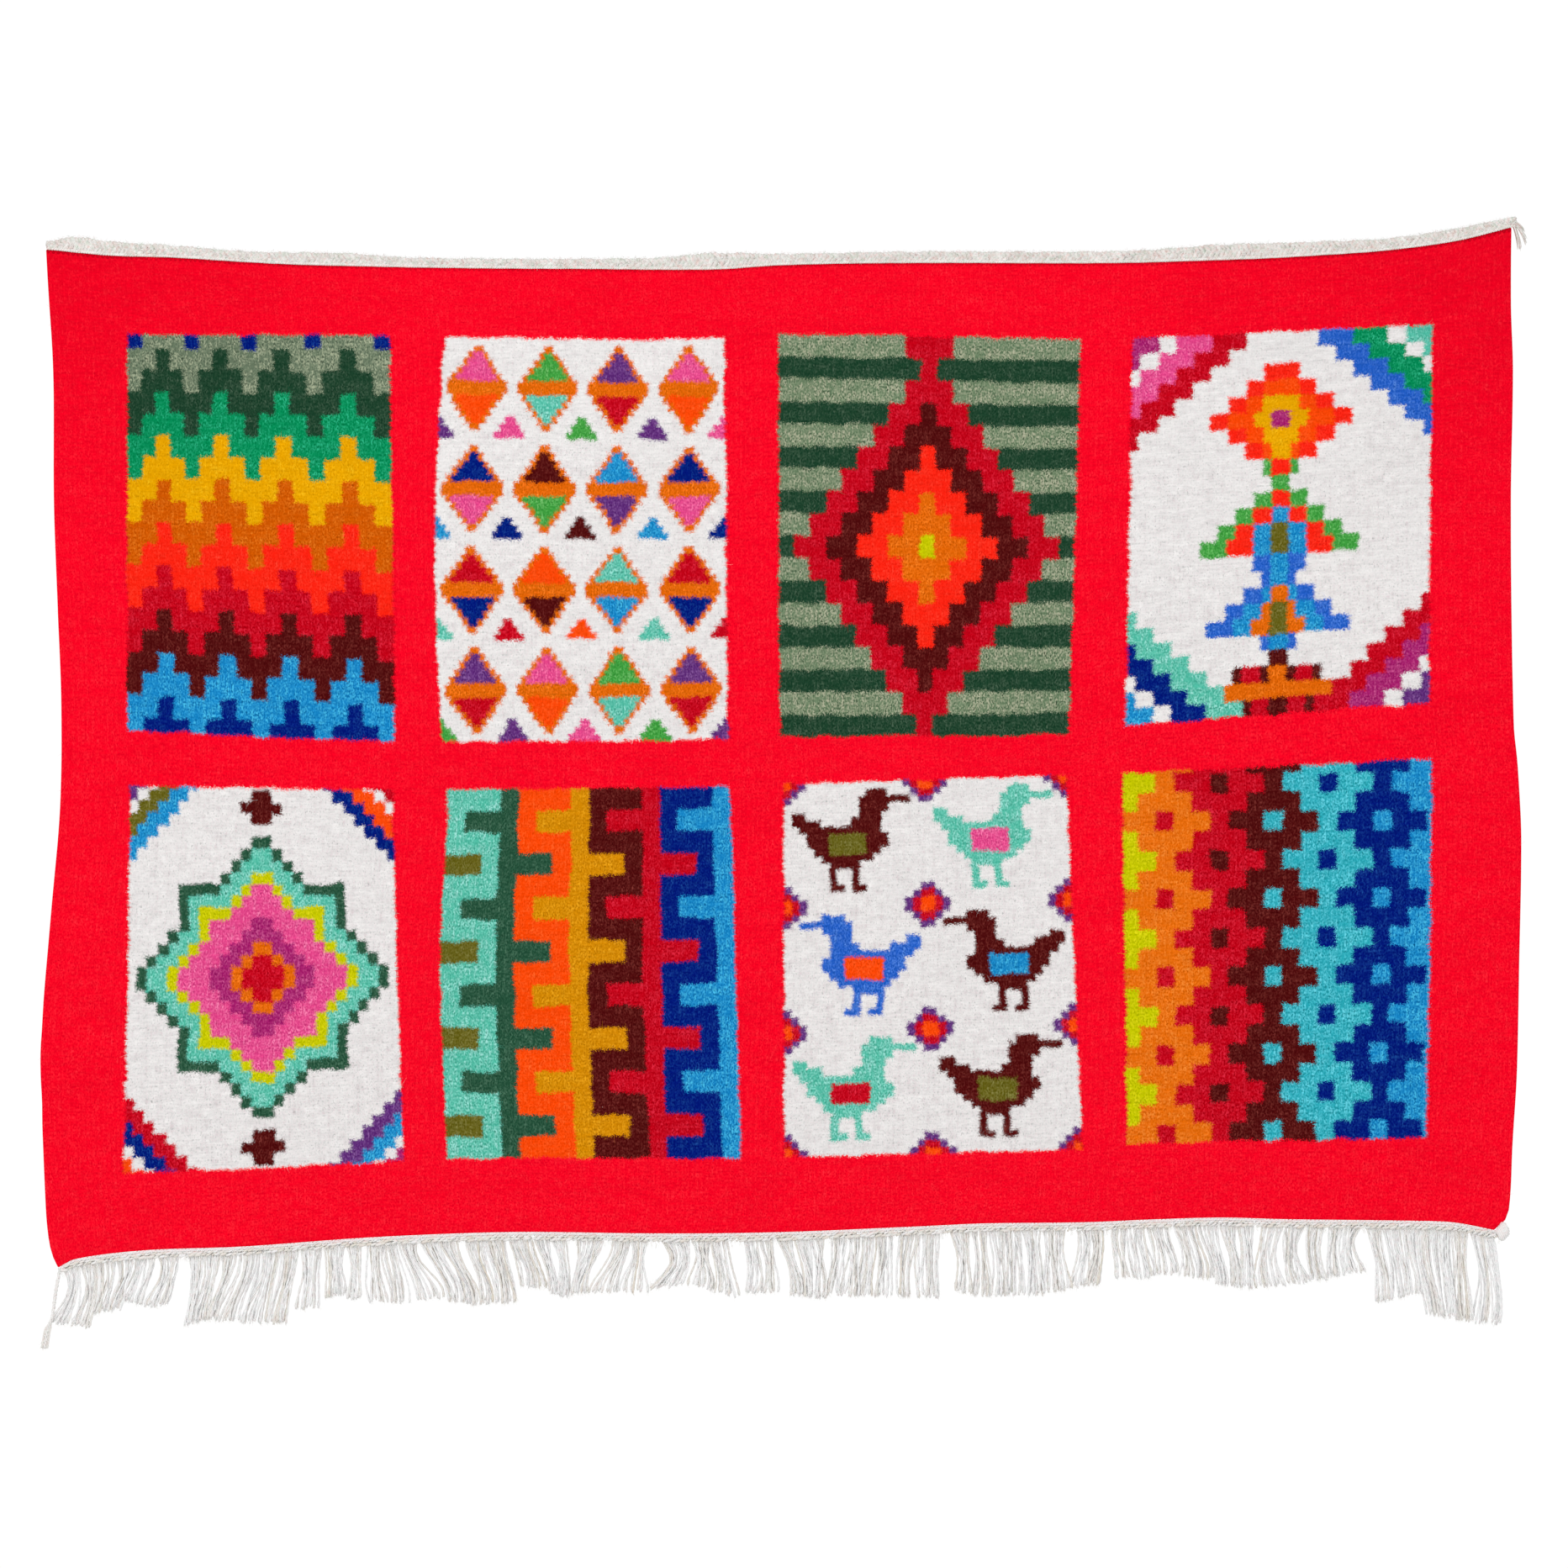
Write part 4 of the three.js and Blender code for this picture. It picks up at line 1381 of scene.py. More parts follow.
class Skein:
    """Yarns gathered as paths, then spun together into one mesh."""

    def __init__(self, name: str, sides: int) -> None:
        """Starts an empty skein.

        Args:
            name: of the mesh.
            sides: of each yarn, an even number from 4.
        """
        self.name, self.sides = name, sides
        self.paths: list[tuple[np.ndarray, np.ndarray, float]] = []

    def add(self, points: np.ndarray, radii: Union[np.ndarray, float], tone: float) -> None:
        """Adds a single yarn.

        Args:
            points: rows of x, y and z in millimetres.
            radii: radius at each point in millimetres.
            tone: how much of the darker wool it takes, from 0 to 1.
        """
        self.paths.append((points, np.broadcast_to(radii, len(points)), tone))

    def twist(self, centre: np.ndarray, radius: float, pitch: float, tone: float) -> None:
        """Adds a two-ply yarn.

        Args:
            centre: rows of x, y and z in millimetres.
            radius: of each ply.
            pitch: length of one full twist.
            tone: of its wool.
        """
        steps = np.diff(centre, axis=0)
        run = np.concatenate(([0.0], np.cumsum(np.linalg.norm(steps, axis=1))))
        along = np.gradient(centre, axis=0)
        along /= np.maximum(np.linalg.norm(along, axis=1), 1e-9)[:, None]
        side = np.cross(along, (0.0, 1.0, 0.0))
        side /= np.maximum(np.linalg.norm(side, axis=1), 1e-9)[:, None]
        depth = np.cross(side, along)
        for ply in (0, 1):
            angle = (2 * math.pi * run / pitch + ply * math.pi)[:, None]
            shift = 0.9 * radius * (np.cos(angle) * side + np.sin(angle) * depth)
            self.add(centre + shift, radius, tone)

    def spin(self) -> bpy.types.Mesh:
        """Makes the mesh of every yarn, with its tone and picture layout.

        Returns:
            The mesh, in place.
        """
        curve = bpy.data.curves.new(self.name, "CURVE")
        curve.dimensions = "3D"
        curve.bevel_depth, curve.bevel_resolution = MM, self.sides // 2 - 2
        curve.use_fill_caps = True
        for points, radii, _ in self.paths:
            spline = curve.splines.new("POLY")
            spline.points.add(len(points) - 1)
            weighted = np.column_stack((points * MM, np.ones(len(points))))
            spline.points.foreach_set("co", weighted.ravel())
            spline.points.foreach_set("radius", np.ascontiguousarray(radii, dtype=float))
        holder = bpy.data.objects.new(self.name, curve)
        mesh = bpy.data.meshes.new_from_object(holder)
        bpy.data.objects.remove(holder)
        bpy.data.curves.remove(curve)
        mesh.name = self.name
        # The caps of both ends come first, the last yarn's before the first's, and then the sides
        caps = [np.full(2 * self.sides, tone) for *_, tone in reversed(self.paths)]
        walls = [np.full(len(points) * self.sides, tone) for points, _, tone in self.paths]
        tones = np.concatenate(caps + walls)
        mesh.attributes.new("tone", "FLOAT", "POINT").data.foreach_set("value", tones)
        self.close(mesh)
        self.lay_out(mesh)
        return mesh

    @staticmethod
    def close(mesh: bpy.types.Mesh) -> None:
        """Joins the caps of a spun mesh to its sides, with the faces outwards.

        Args:
            mesh: the mesh.
        """
        skin = bmesh.new()
        skin.from_mesh(mesh)
        bmesh.ops.remove_doubles(skin, verts=skin.verts[:], dist=1e-6)
        bmesh.ops.recalc_face_normals(skin, faces=skin.faces[:])
        skin.to_mesh(mesh)
        skin.free()

    @staticmethod
    def lay_out(mesh: bpy.types.Mesh) -> None:
        """Gives a mesh its own picture layout: front above, back below.

        Args:
            mesh: the mesh.
        """
        for layer in list(mesh.uv_layers):
            mesh.uv_layers.remove(layer)
        places = np.empty(len(mesh.vertices) * 3)
        mesh.vertices.foreach_get("co", places)
        places = places.reshape(-1, 3)
        corners = np.empty(len(mesh.loops), dtype=np.int32)
        mesh.loops.foreach_get("vertex_index", corners)
        lean = np.empty(len(mesh.polygons) * 3)
        mesh.polygons.foreach_get("normal", lean)
        totals = np.empty(len(mesh.polygons), dtype=np.int32)
        mesh.polygons.foreach_get("loop_total", totals)
        front = np.repeat(lean.reshape(-1, 3)[:, 1] < 0, totals)
        low, high = places.min(axis=0), places.max(axis=0)
        share = (places - low) / np.maximum(high - low, 1e-6)
        u = 0.002 + 0.996 * share[corners, 0]
        v = np.where(front, 0.51, 0.01) + 0.48 * share[corners, 2]
        mesh.uv_layers.new(name="OFBake").data.foreach_set("uv", np.column_stack((u, v)).ravel())


class Fibres:
    """Loose fibres scattered over a piece: one tapered blade, set on points and made real."""

    TAPER, BEND, ARCH = 0.8, 0.25, 0.06

    def __init__(self, name: str, length: float, width: float) -> None:
        """Makes the blade that every fibre copies.

        Args:
            name: of the fibres' mesh.
            length: of the longest fibre, in millimetres.
            width: at its root, in millimetres.
        """
        self.name = name
        blade = bmesh.new()
        bmesh.ops.create_grid(blade, x_segments=2, y_segments=1, size=0.5)
        for vert in blade.verts:
            t = vert.co.x + 0.5
            side = vert.co.y * width * (1 - self.TAPER * t) + self.BEND * length * t * t
            vert.co = Vector((t * length, side, self.ARCH * length * t * (1 - t))) * MM
        mesh = bpy.data.meshes.new(name + "_blade")
        blade.to_mesh(mesh)
        blade.free()
        self.blade = bpy.data.objects.new(name + "_blade", mesh)

    def scatter(
        self, places: np.ndarray, turns: np.ndarray, sizes: np.ndarray, marks: np.ndarray,
        mark: str,
    ) -> bpy.types.Mesh:
        """Sets a fibre on every point.

        Args:
            places: rows of x, y and z in millimetres.
            turns: rows of turns about x, y and z, in radians.
            sizes: share of the full length of each.
            marks: chart place or tone of each, which its fibre keeps.
            mark: name of that attribute.

        Returns:
            The mesh of all fibres, in place.
        """
        points = bpy.data.meshes.new(self.name)
        points.vertices.add(len(places))
        points.vertices.foreach_set("co", (places * MM).ravel())
        for title, values in (("aim", turns), ("size", sizes), (mark, marks)):
            kind, key = ("FLOAT_VECTOR", "vector") if values.ndim == 2 else ("FLOAT", "value")
            points.attributes.new(title, kind, "POINT").data.foreach_set(key, values.ravel())
        holder = bpy.data.objects.new(self.name, points)
        bpy.context.scene.collection.objects.link(holder)
        holder.modifiers.new("fibres", "NODES").node_group = self.growth()
        graph = bpy.context.evaluated_depsgraph_get()
        mesh = bpy.data.meshes.new_from_object(
            holder.evaluated_get(graph), preserve_all_data_layers=True, depsgraph=graph)
        mesh.name = self.name
        bpy.data.objects.remove(holder)
        bpy.data.objects.remove(self.blade)
        for spare in ("aim", "size"):
            if spare in mesh.attributes:
                mesh.attributes.remove(mesh.attributes[spare])
        Skein.lay_out(mesh)
        return mesh

    def growth(self) -> bpy.types.NodeTree:
        """Lays the geometry nodes that set the blade on each point.

        Returns:
            Their tree.
        """
        tree = bpy.data.node_groups.new(self.name + "_growth", "GeometryNodeTree")
        tree.interface.new_socket("Geometry", in_out="INPUT", socket_type="NodeSocketGeometry")
        tree.interface.new_socket("Geometry", in_out="OUTPUT", socket_type="NodeSocketGeometry")
        entry, end = tree.nodes.new("NodeGroupInput"), tree.nodes.new("NodeGroupOutput")
        blade = tree.nodes.new("GeometryNodeObjectInfo")
        blade.inputs["Object"].default_value = self.blade
        aim = tree.nodes.new("GeometryNodeInputNamedAttribute")
        aim.data_type = "FLOAT_VECTOR"
        aim.inputs["Name"].default_value = "aim"
        size = tree.nodes.new("GeometryNodeInputNamedAttribute")
        size.inputs["Name"].default_value = "size"
        setting = tree.nodes.new("GeometryNodeInstanceOnPoints")
        real = tree.nodes.new("GeometryNodeRealizeInstances")
        wires = (
            (entry.outputs[0], setting.inputs["Points"]),
            (blade.outputs["Geometry"], setting.inputs["Instance"]),
            (aim.outputs["Attribute"], setting.inputs["Rotation"]),
            (size.outputs["Attribute"], setting.inputs["Scale"]),
            (setting.outputs[0], real.inputs[0]),
            (real.outputs[0], end.inputs[0]),
        )
        for start, finish in wires:
            tree.links.new(start, finish)
        return tree


@dataclass
class Nap:
    """Raised fibres over the face of the cloth, in the wool that each grows from."""

    count: int = 22000
    length: float = 7.0
    width: float = 0.18
    face: float = 1.5
    lean: float = 0.25
    rise: float = 0.12
    seed: int = 31

    def build(self, groups: WoolGroups) -> list[bpy.types.Object]:
        """Makes the fibres of both halves of the cloth.

        Args:
            groups: the shared node groups.

        Returns:
            The pieces.
        """
        wool = KilimNap().build(groups)
        pieces = []
        for half, name in enumerate(("kilim_nap_left", "kilim_nap_right")):
            luck = np.random.default_rng(self.seed + half)
            u = (luck.uniform(0.004, 0.996, self.count) + half) / 2
            x, z = HANG.field_point(u, luck.uniform(0.004, 0.996, self.count))
            y = -HANG.stand_off(x, z) - HANG.cockling(x, z) - self.face
            turns = np.column_stack((
                luck.normal(math.pi / 2, self.lean, self.count),
                luck.uniform(0, 2 * math.pi, self.count),
                luck.normal(0.0, self.rise, self.count)))
            sizes = luck.uniform(0.3, 1.0, self.count) ** 1.4
            charts = np.column_stack(HANG.chart_place(x, z))
            fibres = Fibres(name, self.length, self.width)
            mesh = fibres.scatter(np.column_stack((x, y, z)), turns, sizes, charts, "chart")
            pieces.append(finished(name, mesh, wool))
        return pieces


@dataclass
class Fringe:
    """The twined line and knots along the foot, and the two-ply warp ends that hang from them."""

    seam_gap: float = 0.35
    line_radius: float = 0.85
    line_pitch: float = 3.4
    knot_pitch: float = 2.1
    knot_depth: float = 5.0
    knot_reach: float = 2.1
    knot_radius: float = 1.15
    clump_width: float = 14.0
    strand_pitch: float = 1.3
    ply_radius: float = 0.62
    ply_pitch: float = 16.0
    steps: int = 20
    fluff_count: int = 12
    fluff_length: float = 4.5
    fluff_width: float = 0.3
    luck: np.random.Generator = field(default_factory=lambda: np.random.default_rng(7))
    ends: list[tuple[float, ...]] = field(default_factory=list)

    def build(self, groups: WoolGroups) -> list[bpy.types.Object]:
        """Makes the knot row, the fringe in two halves and the fluff of its ends.

        Args:
            groups: the shared node groups.

        Returns:
            The pieces.
        """
        wool = FRINGE_WOOL.build(groups)
        halves = []
        for name, bunches in (("fringe_left", BUNCHES[:20]), ("fringe_right", BUNCHES[20:])):
            skein = Skein(name, sides=4)
            for bunch in bunches:
                self.bunch(skein, bunch)
            if name == "fringe_left":
                self.lone_end(skein)
            halves.append(finished(name, skein.spin(), wool))
        knots = self.knots(wool)
        return [knots, *halves, self.fluff(FRINGE_FLUFF_WOOL.build(groups))]

    def fluff(self, wool: bpy.types.Material) -> bpy.types.Object:
        """Makes the loose fibres at the tips of the strands.

        Args:
            wool: their material.

        Returns:
            The piece.
        """
        tips = np.repeat(np.array(self.ends), self.fluff_count, axis=0)
        count = len(tips)
        places = tips[:, :3] + np.column_stack((
            self.luck.normal(0, 0.5, count), self.luck.normal(0, 0.4, count),
            self.luck.uniform(0, 7, count)))
        turns = np.column_stack((
            self.luck.normal(math.pi / 2, 0.4, count), self.luck.normal(math.pi / 2, 0.5, count),
            self.luck.normal(0, 0.3, count)))
        sizes = self.luck.uniform(0.4, 1.0, count)
        fibres = Fibres("fringe_fluff", self.fluff_length, self.fluff_width)
        mesh = fibres.scatter(places, turns, sizes, tips[:, 3].copy(), "tone")
        return finished("fringe_fluff", mesh, wool)

    def bunch(self, skein: Skein, row: tuple[float, ...]) -> None:
        """Adds one bunch of strands.

        Args:
            skein: what they are added to.
            row: the bunch, from the table.
        """
        left, right, tip_left, tip_right, low_left, low_right, bow_left, bow_right = row
        width = right - left
        count = max(round(width / self.strand_pitch), 3)
        clumps = max(round(width / self.clump_width), 1)
        grips = self.luck.uniform(0.1, 0.42, clumps)
        for index in range(count):
            share = (index + 0.5 + self.luck.uniform(-0.25, 0.25)) / count
            clump = min(math.floor(share * clumps), clumps - 1)
            middle = (clump + 0.5) / clumps
            spaced = 0.5 + (share - 0.5 + self.luck.normal(0, 0.05)) * 1.08
            pull = (middle - share) * width * grips[clump]
            root_x = left + width * share
            tip_x = tip_left + (tip_right - tip_left) * spaced
            low = low_left + (low_right - low_left) * share + self.luck.uniform(-1.2, 2.0)
            bow = bow_left + (bow_right - bow_left) * share + self.luck.normal(0, 0.8)
            self.strand(skein, root_x, tip_x, low, bow, pull)

    def strand(
        self, skein: Skein, root_x: float, tip_x: float, low: float, bow: float, pull: float,
    ) -> None:
        """Adds one two-ply strand that loosens at its tip.

        Args:
            skein: what it is added to.
            root_x: where it leaves the knot row.
            tip_x: where it ends.
            low: height of its tip.
            bow: how far its middle swings to the right.
            pull: how far it leans over to its neighbours, a little above the middle.
        """
        t = np.linspace(0, 1, self.steps)
        foot = float(smooth_at(BOTTOM_EDGE, np.array(root_x)))
        root_z = foot - self.seam_gap - self.knot_depth + 1.5
        x = root_x + (tip_x - root_x) * (t * t * (3 - 2 * t)) + bow * np.sin(math.pi * t)
        x = x + pull * smooth_step(t, 0.0, 0.4) * (1 - smooth_step(t, 0.45, 0.95))
        x = x + self.luck.normal(0, 0.6) * np.sin(2 * math.pi * t)
        x = x + self.luck.normal(0, 0.3) * np.sin(5 * t)
        z = root_z + (low - root_z) * t
        y = -stand_off_at(root_x, root_z) + self.luck.uniform(-2.2, 1.6) * smooth_step(t, 0.0, 0.2)
        y = y + self.luck.uniform(-1, 1) * t * t
        centre = np.column_stack((x, y, z))
        loose = 1 + 0.35 * smooth_step(t, 0.75, 0.97)
        thin = 1 - 0.75 * smooth_step(t, 0.965, 1.0)
        turn = 2 * math.pi * (root_z - z) / self.ply_pitch + self.luck.uniform(0, 2 * math.pi)
        tone = float(np.clip(self.luck.normal(0.05, 0.25), 0, 1))
        self.ends.append((x[-1], y[-1], z[-1], tone))
        swing = 0.6 * self.ply_radius * loose
        for ply in (0, math.pi):
            shift = (np.cos(turn + ply) * swing, np.sin(turn + ply) * swing, 0 * t)
            skein.add(centre + np.column_stack(shift), self.ply_radius * loose * thin, tone)

    def lone_end(self, skein: Skein) -> None:
        """Adds the long single end at the left corner: two plies that fray into eight.

        Args:
            skein: what it is added to.
        """
        rows = np.array(LONE_END)
        t = np.linspace(0, 1, 40)
        places = t * (len(rows) - 1)
        x = np.interp(places, np.arange(len(rows)), rows[:, 0])
        z = np.interp(places, np.arange(len(rows)), rows[:, 1])
        away = stand_off_at(rows[0, 0], rows[0, 1])
        skein.twist(np.column_stack((x, np.full_like(x, -away), z)), 0.95, 7.0, 0.15)
        loose = t > 0.6
        for number in range(8):
            splay = (number - 3.5) * 0.72 * smooth_step(t[loose], 0.56, 0.72)
            y = -away + self.luck.uniform(-0.8, 0.8)
            path = np.column_stack((x[loose] + splay, np.full_like(splay, y), z[loose]))
            skein.add(path, 0.5, 0.3)
            self.ends.append((*path[-1], 0.3))

    def knots(self, wool: bpy.types.Material) -> bpy.types.Object:
        """Makes the twined line under the cloth and the two rows of small knots below it.

        Args:
            wool: their material.

        Returns:
            The piece.
        """
        skein = Skein("fringe_knots", sides=4)
        left, right = BOTTOM_EDGE[0][0], BOTTOM_EDGE[-1][0]
        x = np.linspace(left + 0.5, right + 3, 1100)
        z = smooth_at(BOTTOM_EDGE, np.clip(x, left, right)) - self.seam_gap - 1.25
        line = np.column_stack((x, -HANG.stand_off(x, z) - 0.4, z + 0.25 * np.sin(x * 1.7)))
        skein.twist(line, self.line_radius, self.line_pitch, 0.0)
        for number, root in enumerate(np.arange(left + 3, right + 2, self.knot_pitch)):
            self.knot(skein, root + self.luck.uniform(-0.8, 0.8), 2.0 * (number % 2))
        self.corner_knot(skein)
        return finished("fringe_knots", skein.spin(), wool)

    def knot(self, skein: Skein, x: float, lower: float) -> None:
        """Adds one small knot: a yarn in front and a yarn behind, each half a turn.

        Args:
            skein: what it is added to.
            x: its middle.
            lower: how far it hangs below the upper row.
        """
        t = np.linspace(0, 1, 9)
        drop = self.luck.uniform(2.4, 3.4) + lower
        z = float(smooth_at(BOTTOM_EDGE, np.array(x))) - self.seam_gap - drop
        away = stand_off_at(x, z)
        lean = self.luck.uniform(0.5, 1.1)
        size = self.luck.uniform(0.7, 1.25)
        end_x = x + self.luck.uniform(-3, 3)
        self.ends.append((end_x, -away - 2.4, z - self.luck.uniform(4, 5), 0.1))
        for wrap, way in ((0, 1), (1, -1)):
            angle = math.pi * (1.15 * t - 0.075) + wrap * math.pi
            path = np.column_stack((
                x - self.knot_reach * np.cos(angle) * size * way,
                -away - 0.5 - 1.9 * np.sin(angle) * size,
                z + (t - 0.5) * 3.0 * lean - 0.3 * wrap))
            radius = self.knot_radius * size * (0.65 + 0.35 * np.sin(math.pi * t))
            skein.add(path, radius, self.luck.uniform(0, 0.6))

    def corner_knot(self, skein: Skein) -> None:
        """Adds the knot of spare yarn at the right corner: one yarn wound round and round.

        Args:
            skein: what it is added to.
        """
        middle_x, middle_z, size = CORNER_KNOT
        turns, tilt = 8.5, 0.9
        t = np.linspace(0, 1, 260)
        turn, climb = 2 * math.pi * turns * t, math.pi * (0.1 + 0.8 * t)
        reach = (size - 1.1) * np.sin(climb) * (1 + 0.12 * np.sin(9 * t))
        x = reach * np.cos(turn)
        y = reach * np.sin(turn) * 0.8
        z = (size - 1.1) * np.cos(climb)
        skein.add(np.column_stack((
            middle_x + 0.85 * (x * math.cos(tilt) + z * math.sin(tilt)),
            -stand_off_at(middle_x, middle_z) - 1.5 + y,
            middle_z + 1.25 * (z * math.cos(tilt) - x * math.sin(tilt)))), 1.15, 0.1)


@dataclass
class Heading:
    """The plaited warp ends along the top edge, with the loose ends at the right corner."""

    seam_gap: float = 0.35
    plait_length: float = 11.0
    yarn_radius: float = 1.9
    line_radius: float = 0.85
    line_pitch: float = 4.0
    past_corner: float = 3.0
    tuft_yarns: int = 20
    fuzz_count: int = 22000
    fuzz_length: float = 3.4
    fuzz_width: float = 0.32
    luck: np.random.Generator = field(default_factory=lambda: np.random.default_rng(11))

    def build(self, groups: WoolGroups) -> list[bpy.types.Object]:
        """Makes the plait with the twined line under it and the tuft, and its fuzz.

        Args:
            groups: the shared node groups.

        Returns:
            The pieces.
        """
        skein = Skein("heading_plait", sides=8)
        left, right = TOP_EDGE[0][0], TOP_EDGE[-1][0]
        x = np.linspace(left + 1.2, right + self.past_corner, 1150)
        seam = smooth_at(TOP_EDGE, np.clip(x, left, right)) + self.seam_gap
        height = smooth_at(HEADING_EDGE, x) - seam
        away = HANG.stand_off(x, seam)
        run = x + 2.2 * np.sin(x / 31) + 2.0 * np.sin(x / 12.7) + 0.9 * np.sin(x / 5.3)
        reach = np.maximum(height / 2 - self.yarn_radius * 0.95, 1.2)
        for strand in range(3):
            turn = 2 * math.pi * (run / self.plait_length + strand / 3)
            z = seam + height / 2 + reach * np.sin(turn)
            y = -away + np.sin(2 * turn)
            swell = 1 + 0.16 * np.sin(run / 3.1 + strand) + 0.12 * np.sin(run / 1.3 + 2 * strand)
            path = np.column_stack((x, y, z))
            skein.add(path, self.yarn_radius * swell, 0.08 + 0.08 * strand)
        line = np.column_stack((x, -away - 1.1, seam + 0.8))
        skein.twist(line, self.line_radius, self.line_pitch, 0.0)
        self.tuft(skein)
        plait = finished("heading_plait", skein.spin(), HEADING_WOOL.build(groups))
        fuzz = self.fuzz(HEADING_FUZZ_WOOL.build(groups), x, seam, height, away)
        return [plait, fuzz]

    def fuzz(
        self, wool: bpy.types.Material, x: np.ndarray, seam: np.ndarray, height: np.ndarray,
        away: np.ndarray,
    ) -> bpy.types.Object:
        """Makes the short fibres that stand out of the plait.

        Args:
            wool: their material.
            x: places along the edge, in millimetres.
            seam: height of the seam at each.
            height: of the band above it.
            away: how far the cloth hangs off the wall there.

        Returns:
            The piece.
        """
        count = self.fuzz_count
        spot = self.luck.integers(0, len(x), count)
        rise = self.luck.uniform(0.12, 1.05, count)
        places = np.column_stack((
            x[spot] + self.luck.uniform(-0.5, 0.5, count),
            -away[spot] - self.luck.uniform(0.5, 2.9, count),
            seam[spot] + height[spot] * rise))
        turns = np.column_stack((
            self.luck.normal(math.pi / 2, 0.5, count), self.luck.normal(-math.pi / 2, 1.0, count),
            self.luck.normal(0.0, 0.3, count)))
        tones = np.clip(self.luck.normal(-0.15, 0.45, count), 0, 1)
        sizes = self.luck.uniform(0.4, 1.0, count) * (1.15 - 0.35 * rise)
        fibres = Fibres("heading_fuzz", self.fuzz_length, self.fuzz_width)
        mesh = fibres.scatter(places, turns, sizes, tones, "tone")
        return finished("heading_fuzz", mesh, wool)

    def tuft(self, skein: Skein) -> None:
        """Adds the loose ends at the right corner.

        Args:
            skein: what they are added to.
        """
        t = np.linspace(0, 1, 14)
        for root_x, root_z, tip_x, tip_z in CORNER_TUFT:
            away = stand_off_at(root_x, root_z)
            for _ in range(self.tuft_yarns):
                end_x = tip_x + self.luck.normal(-1.4, 0.7)
                end_z = tip_z + self.luck.normal(1.5, 1.8)
                start_x = root_x + self.luck.normal(-1, 0.8)
                start_z = root_z + self.luck.normal(-0.8, 0.8)
                x = start_x + (end_x - start_x) * (0.5 * t + 0.5 * np.sin(t * math.pi / 2))
                y = -away + self.luck.normal(0, 0.8) + self.luck.normal(0, 0.8) * t
                z = start_z + (end_z - start_z) * t**1.2
                path = np.column_stack((x, y, z))
                skein.add(path, 0.6 - 0.45 * t, self.luck.uniform(0, 0.5))


@dataclass
class WovenField:
    """The woven cloth: one sheet that follows its folds, with its pattern in the weaver's chart."""

    thickness: float = 3.0
    columns: int = 300
    rows: int = 100
    soft_edge: float = 1.1
    corner_angle: float = 1.2

    def build(self, groups: WoolGroups) -> bpy.types.Object:
        """Makes the sheet.

        Args:
            groups: the shared node groups.

        Returns:
            The piece.
        """
        sheet = bmesh.new()
        bmesh.ops.create_grid(sheet, x_segments=self.columns, y_segments=self.rows, size=0.5)
        flat = np.array([vert.co[:2] for vert in sheet.verts])
        x, z = HANG.field_point(flat[:, 0] + 0.5, 0.5 - flat[:, 1])
        y = -HANG.stand_off(x, z) - HANG.cockling(x, z) + self.thickness / 2
        for vert, place in zip(sheet.verts, np.column_stack((x, y, z)) * MM):
            vert.co = place
        grown = bmesh.ops.extrude_face_region(sheet, geom=sheet.faces[:], use_keep_orig=True)
        front = [part for part in grown["geom"] if isinstance(part, bmesh.types.BMVert)]
        bmesh.ops.translate(sheet, verts=front, vec=(0, -self.thickness * MM, 0))
        bmesh.ops.recalc_face_normals(sheet, faces=sheet.faces[:])
        rim = [edge for edge in sheet.edges if edge.calc_face_angle(0.0) > self.corner_angle]
        bmesh.ops.bevel(
            sheet, geom=rim, offset=self.soft_edge * MM, segments=2, profile=0.5, affect="EDGES",
            material=-1)
        for face in sheet.faces:
            face.smooth = True
        self.chart(sheet)
        mesh = bpy.data.meshes.new("kilim_cloth")
        sheet.to_mesh(mesh)
        sheet.free()
        return finished("kilim_cloth", mesh, KilimWeave().build(groups))

    def chart(self, sheet: bmesh.types.BMesh) -> None:
        """Writes each point's place in the weaver's chart, and the sheet's own picture layout.

        Args:
            sheet: the sheet in place.
        """
        places = np.array([vert.co[:] for vert in sheet.verts]) / MM
        columns, rows, warps = HANG.chart_place(places[:, 0], places[:, 2])
        layer = sheet.verts.layers.float_vector.new("chart")
        for vert, place in zip(sheet.verts, np.column_stack((columns, rows, warps))):
            vert[layer] = Vector(place)
        layout = sheet.loops.layers.uv.new("OFBake")
        for face in sheet.faces:
            lean = face.normal.y
            for loop in face.loops:
                column = loop.vert[layer].x / CHART_COLUMNS[-1]
                row = loop.vert[layer].y / CHART_ROWS[-1]
                if abs(lean) < 0.85:  # the thin rim, below the back
                    u, v = 0.5 * (column + row), 0.004 + 0.004 * lean
                elif lean < 0:  # the front, in the upper two thirds
                    u, v = 0.001 + 0.998 * column, 0.999 - 0.66 * row
                else:  # the back, in the lower third
                    u, v = 0.001 + 0.998 * column, 0.33 - 0.3 * row
                loop[layout].uv = (u, v)


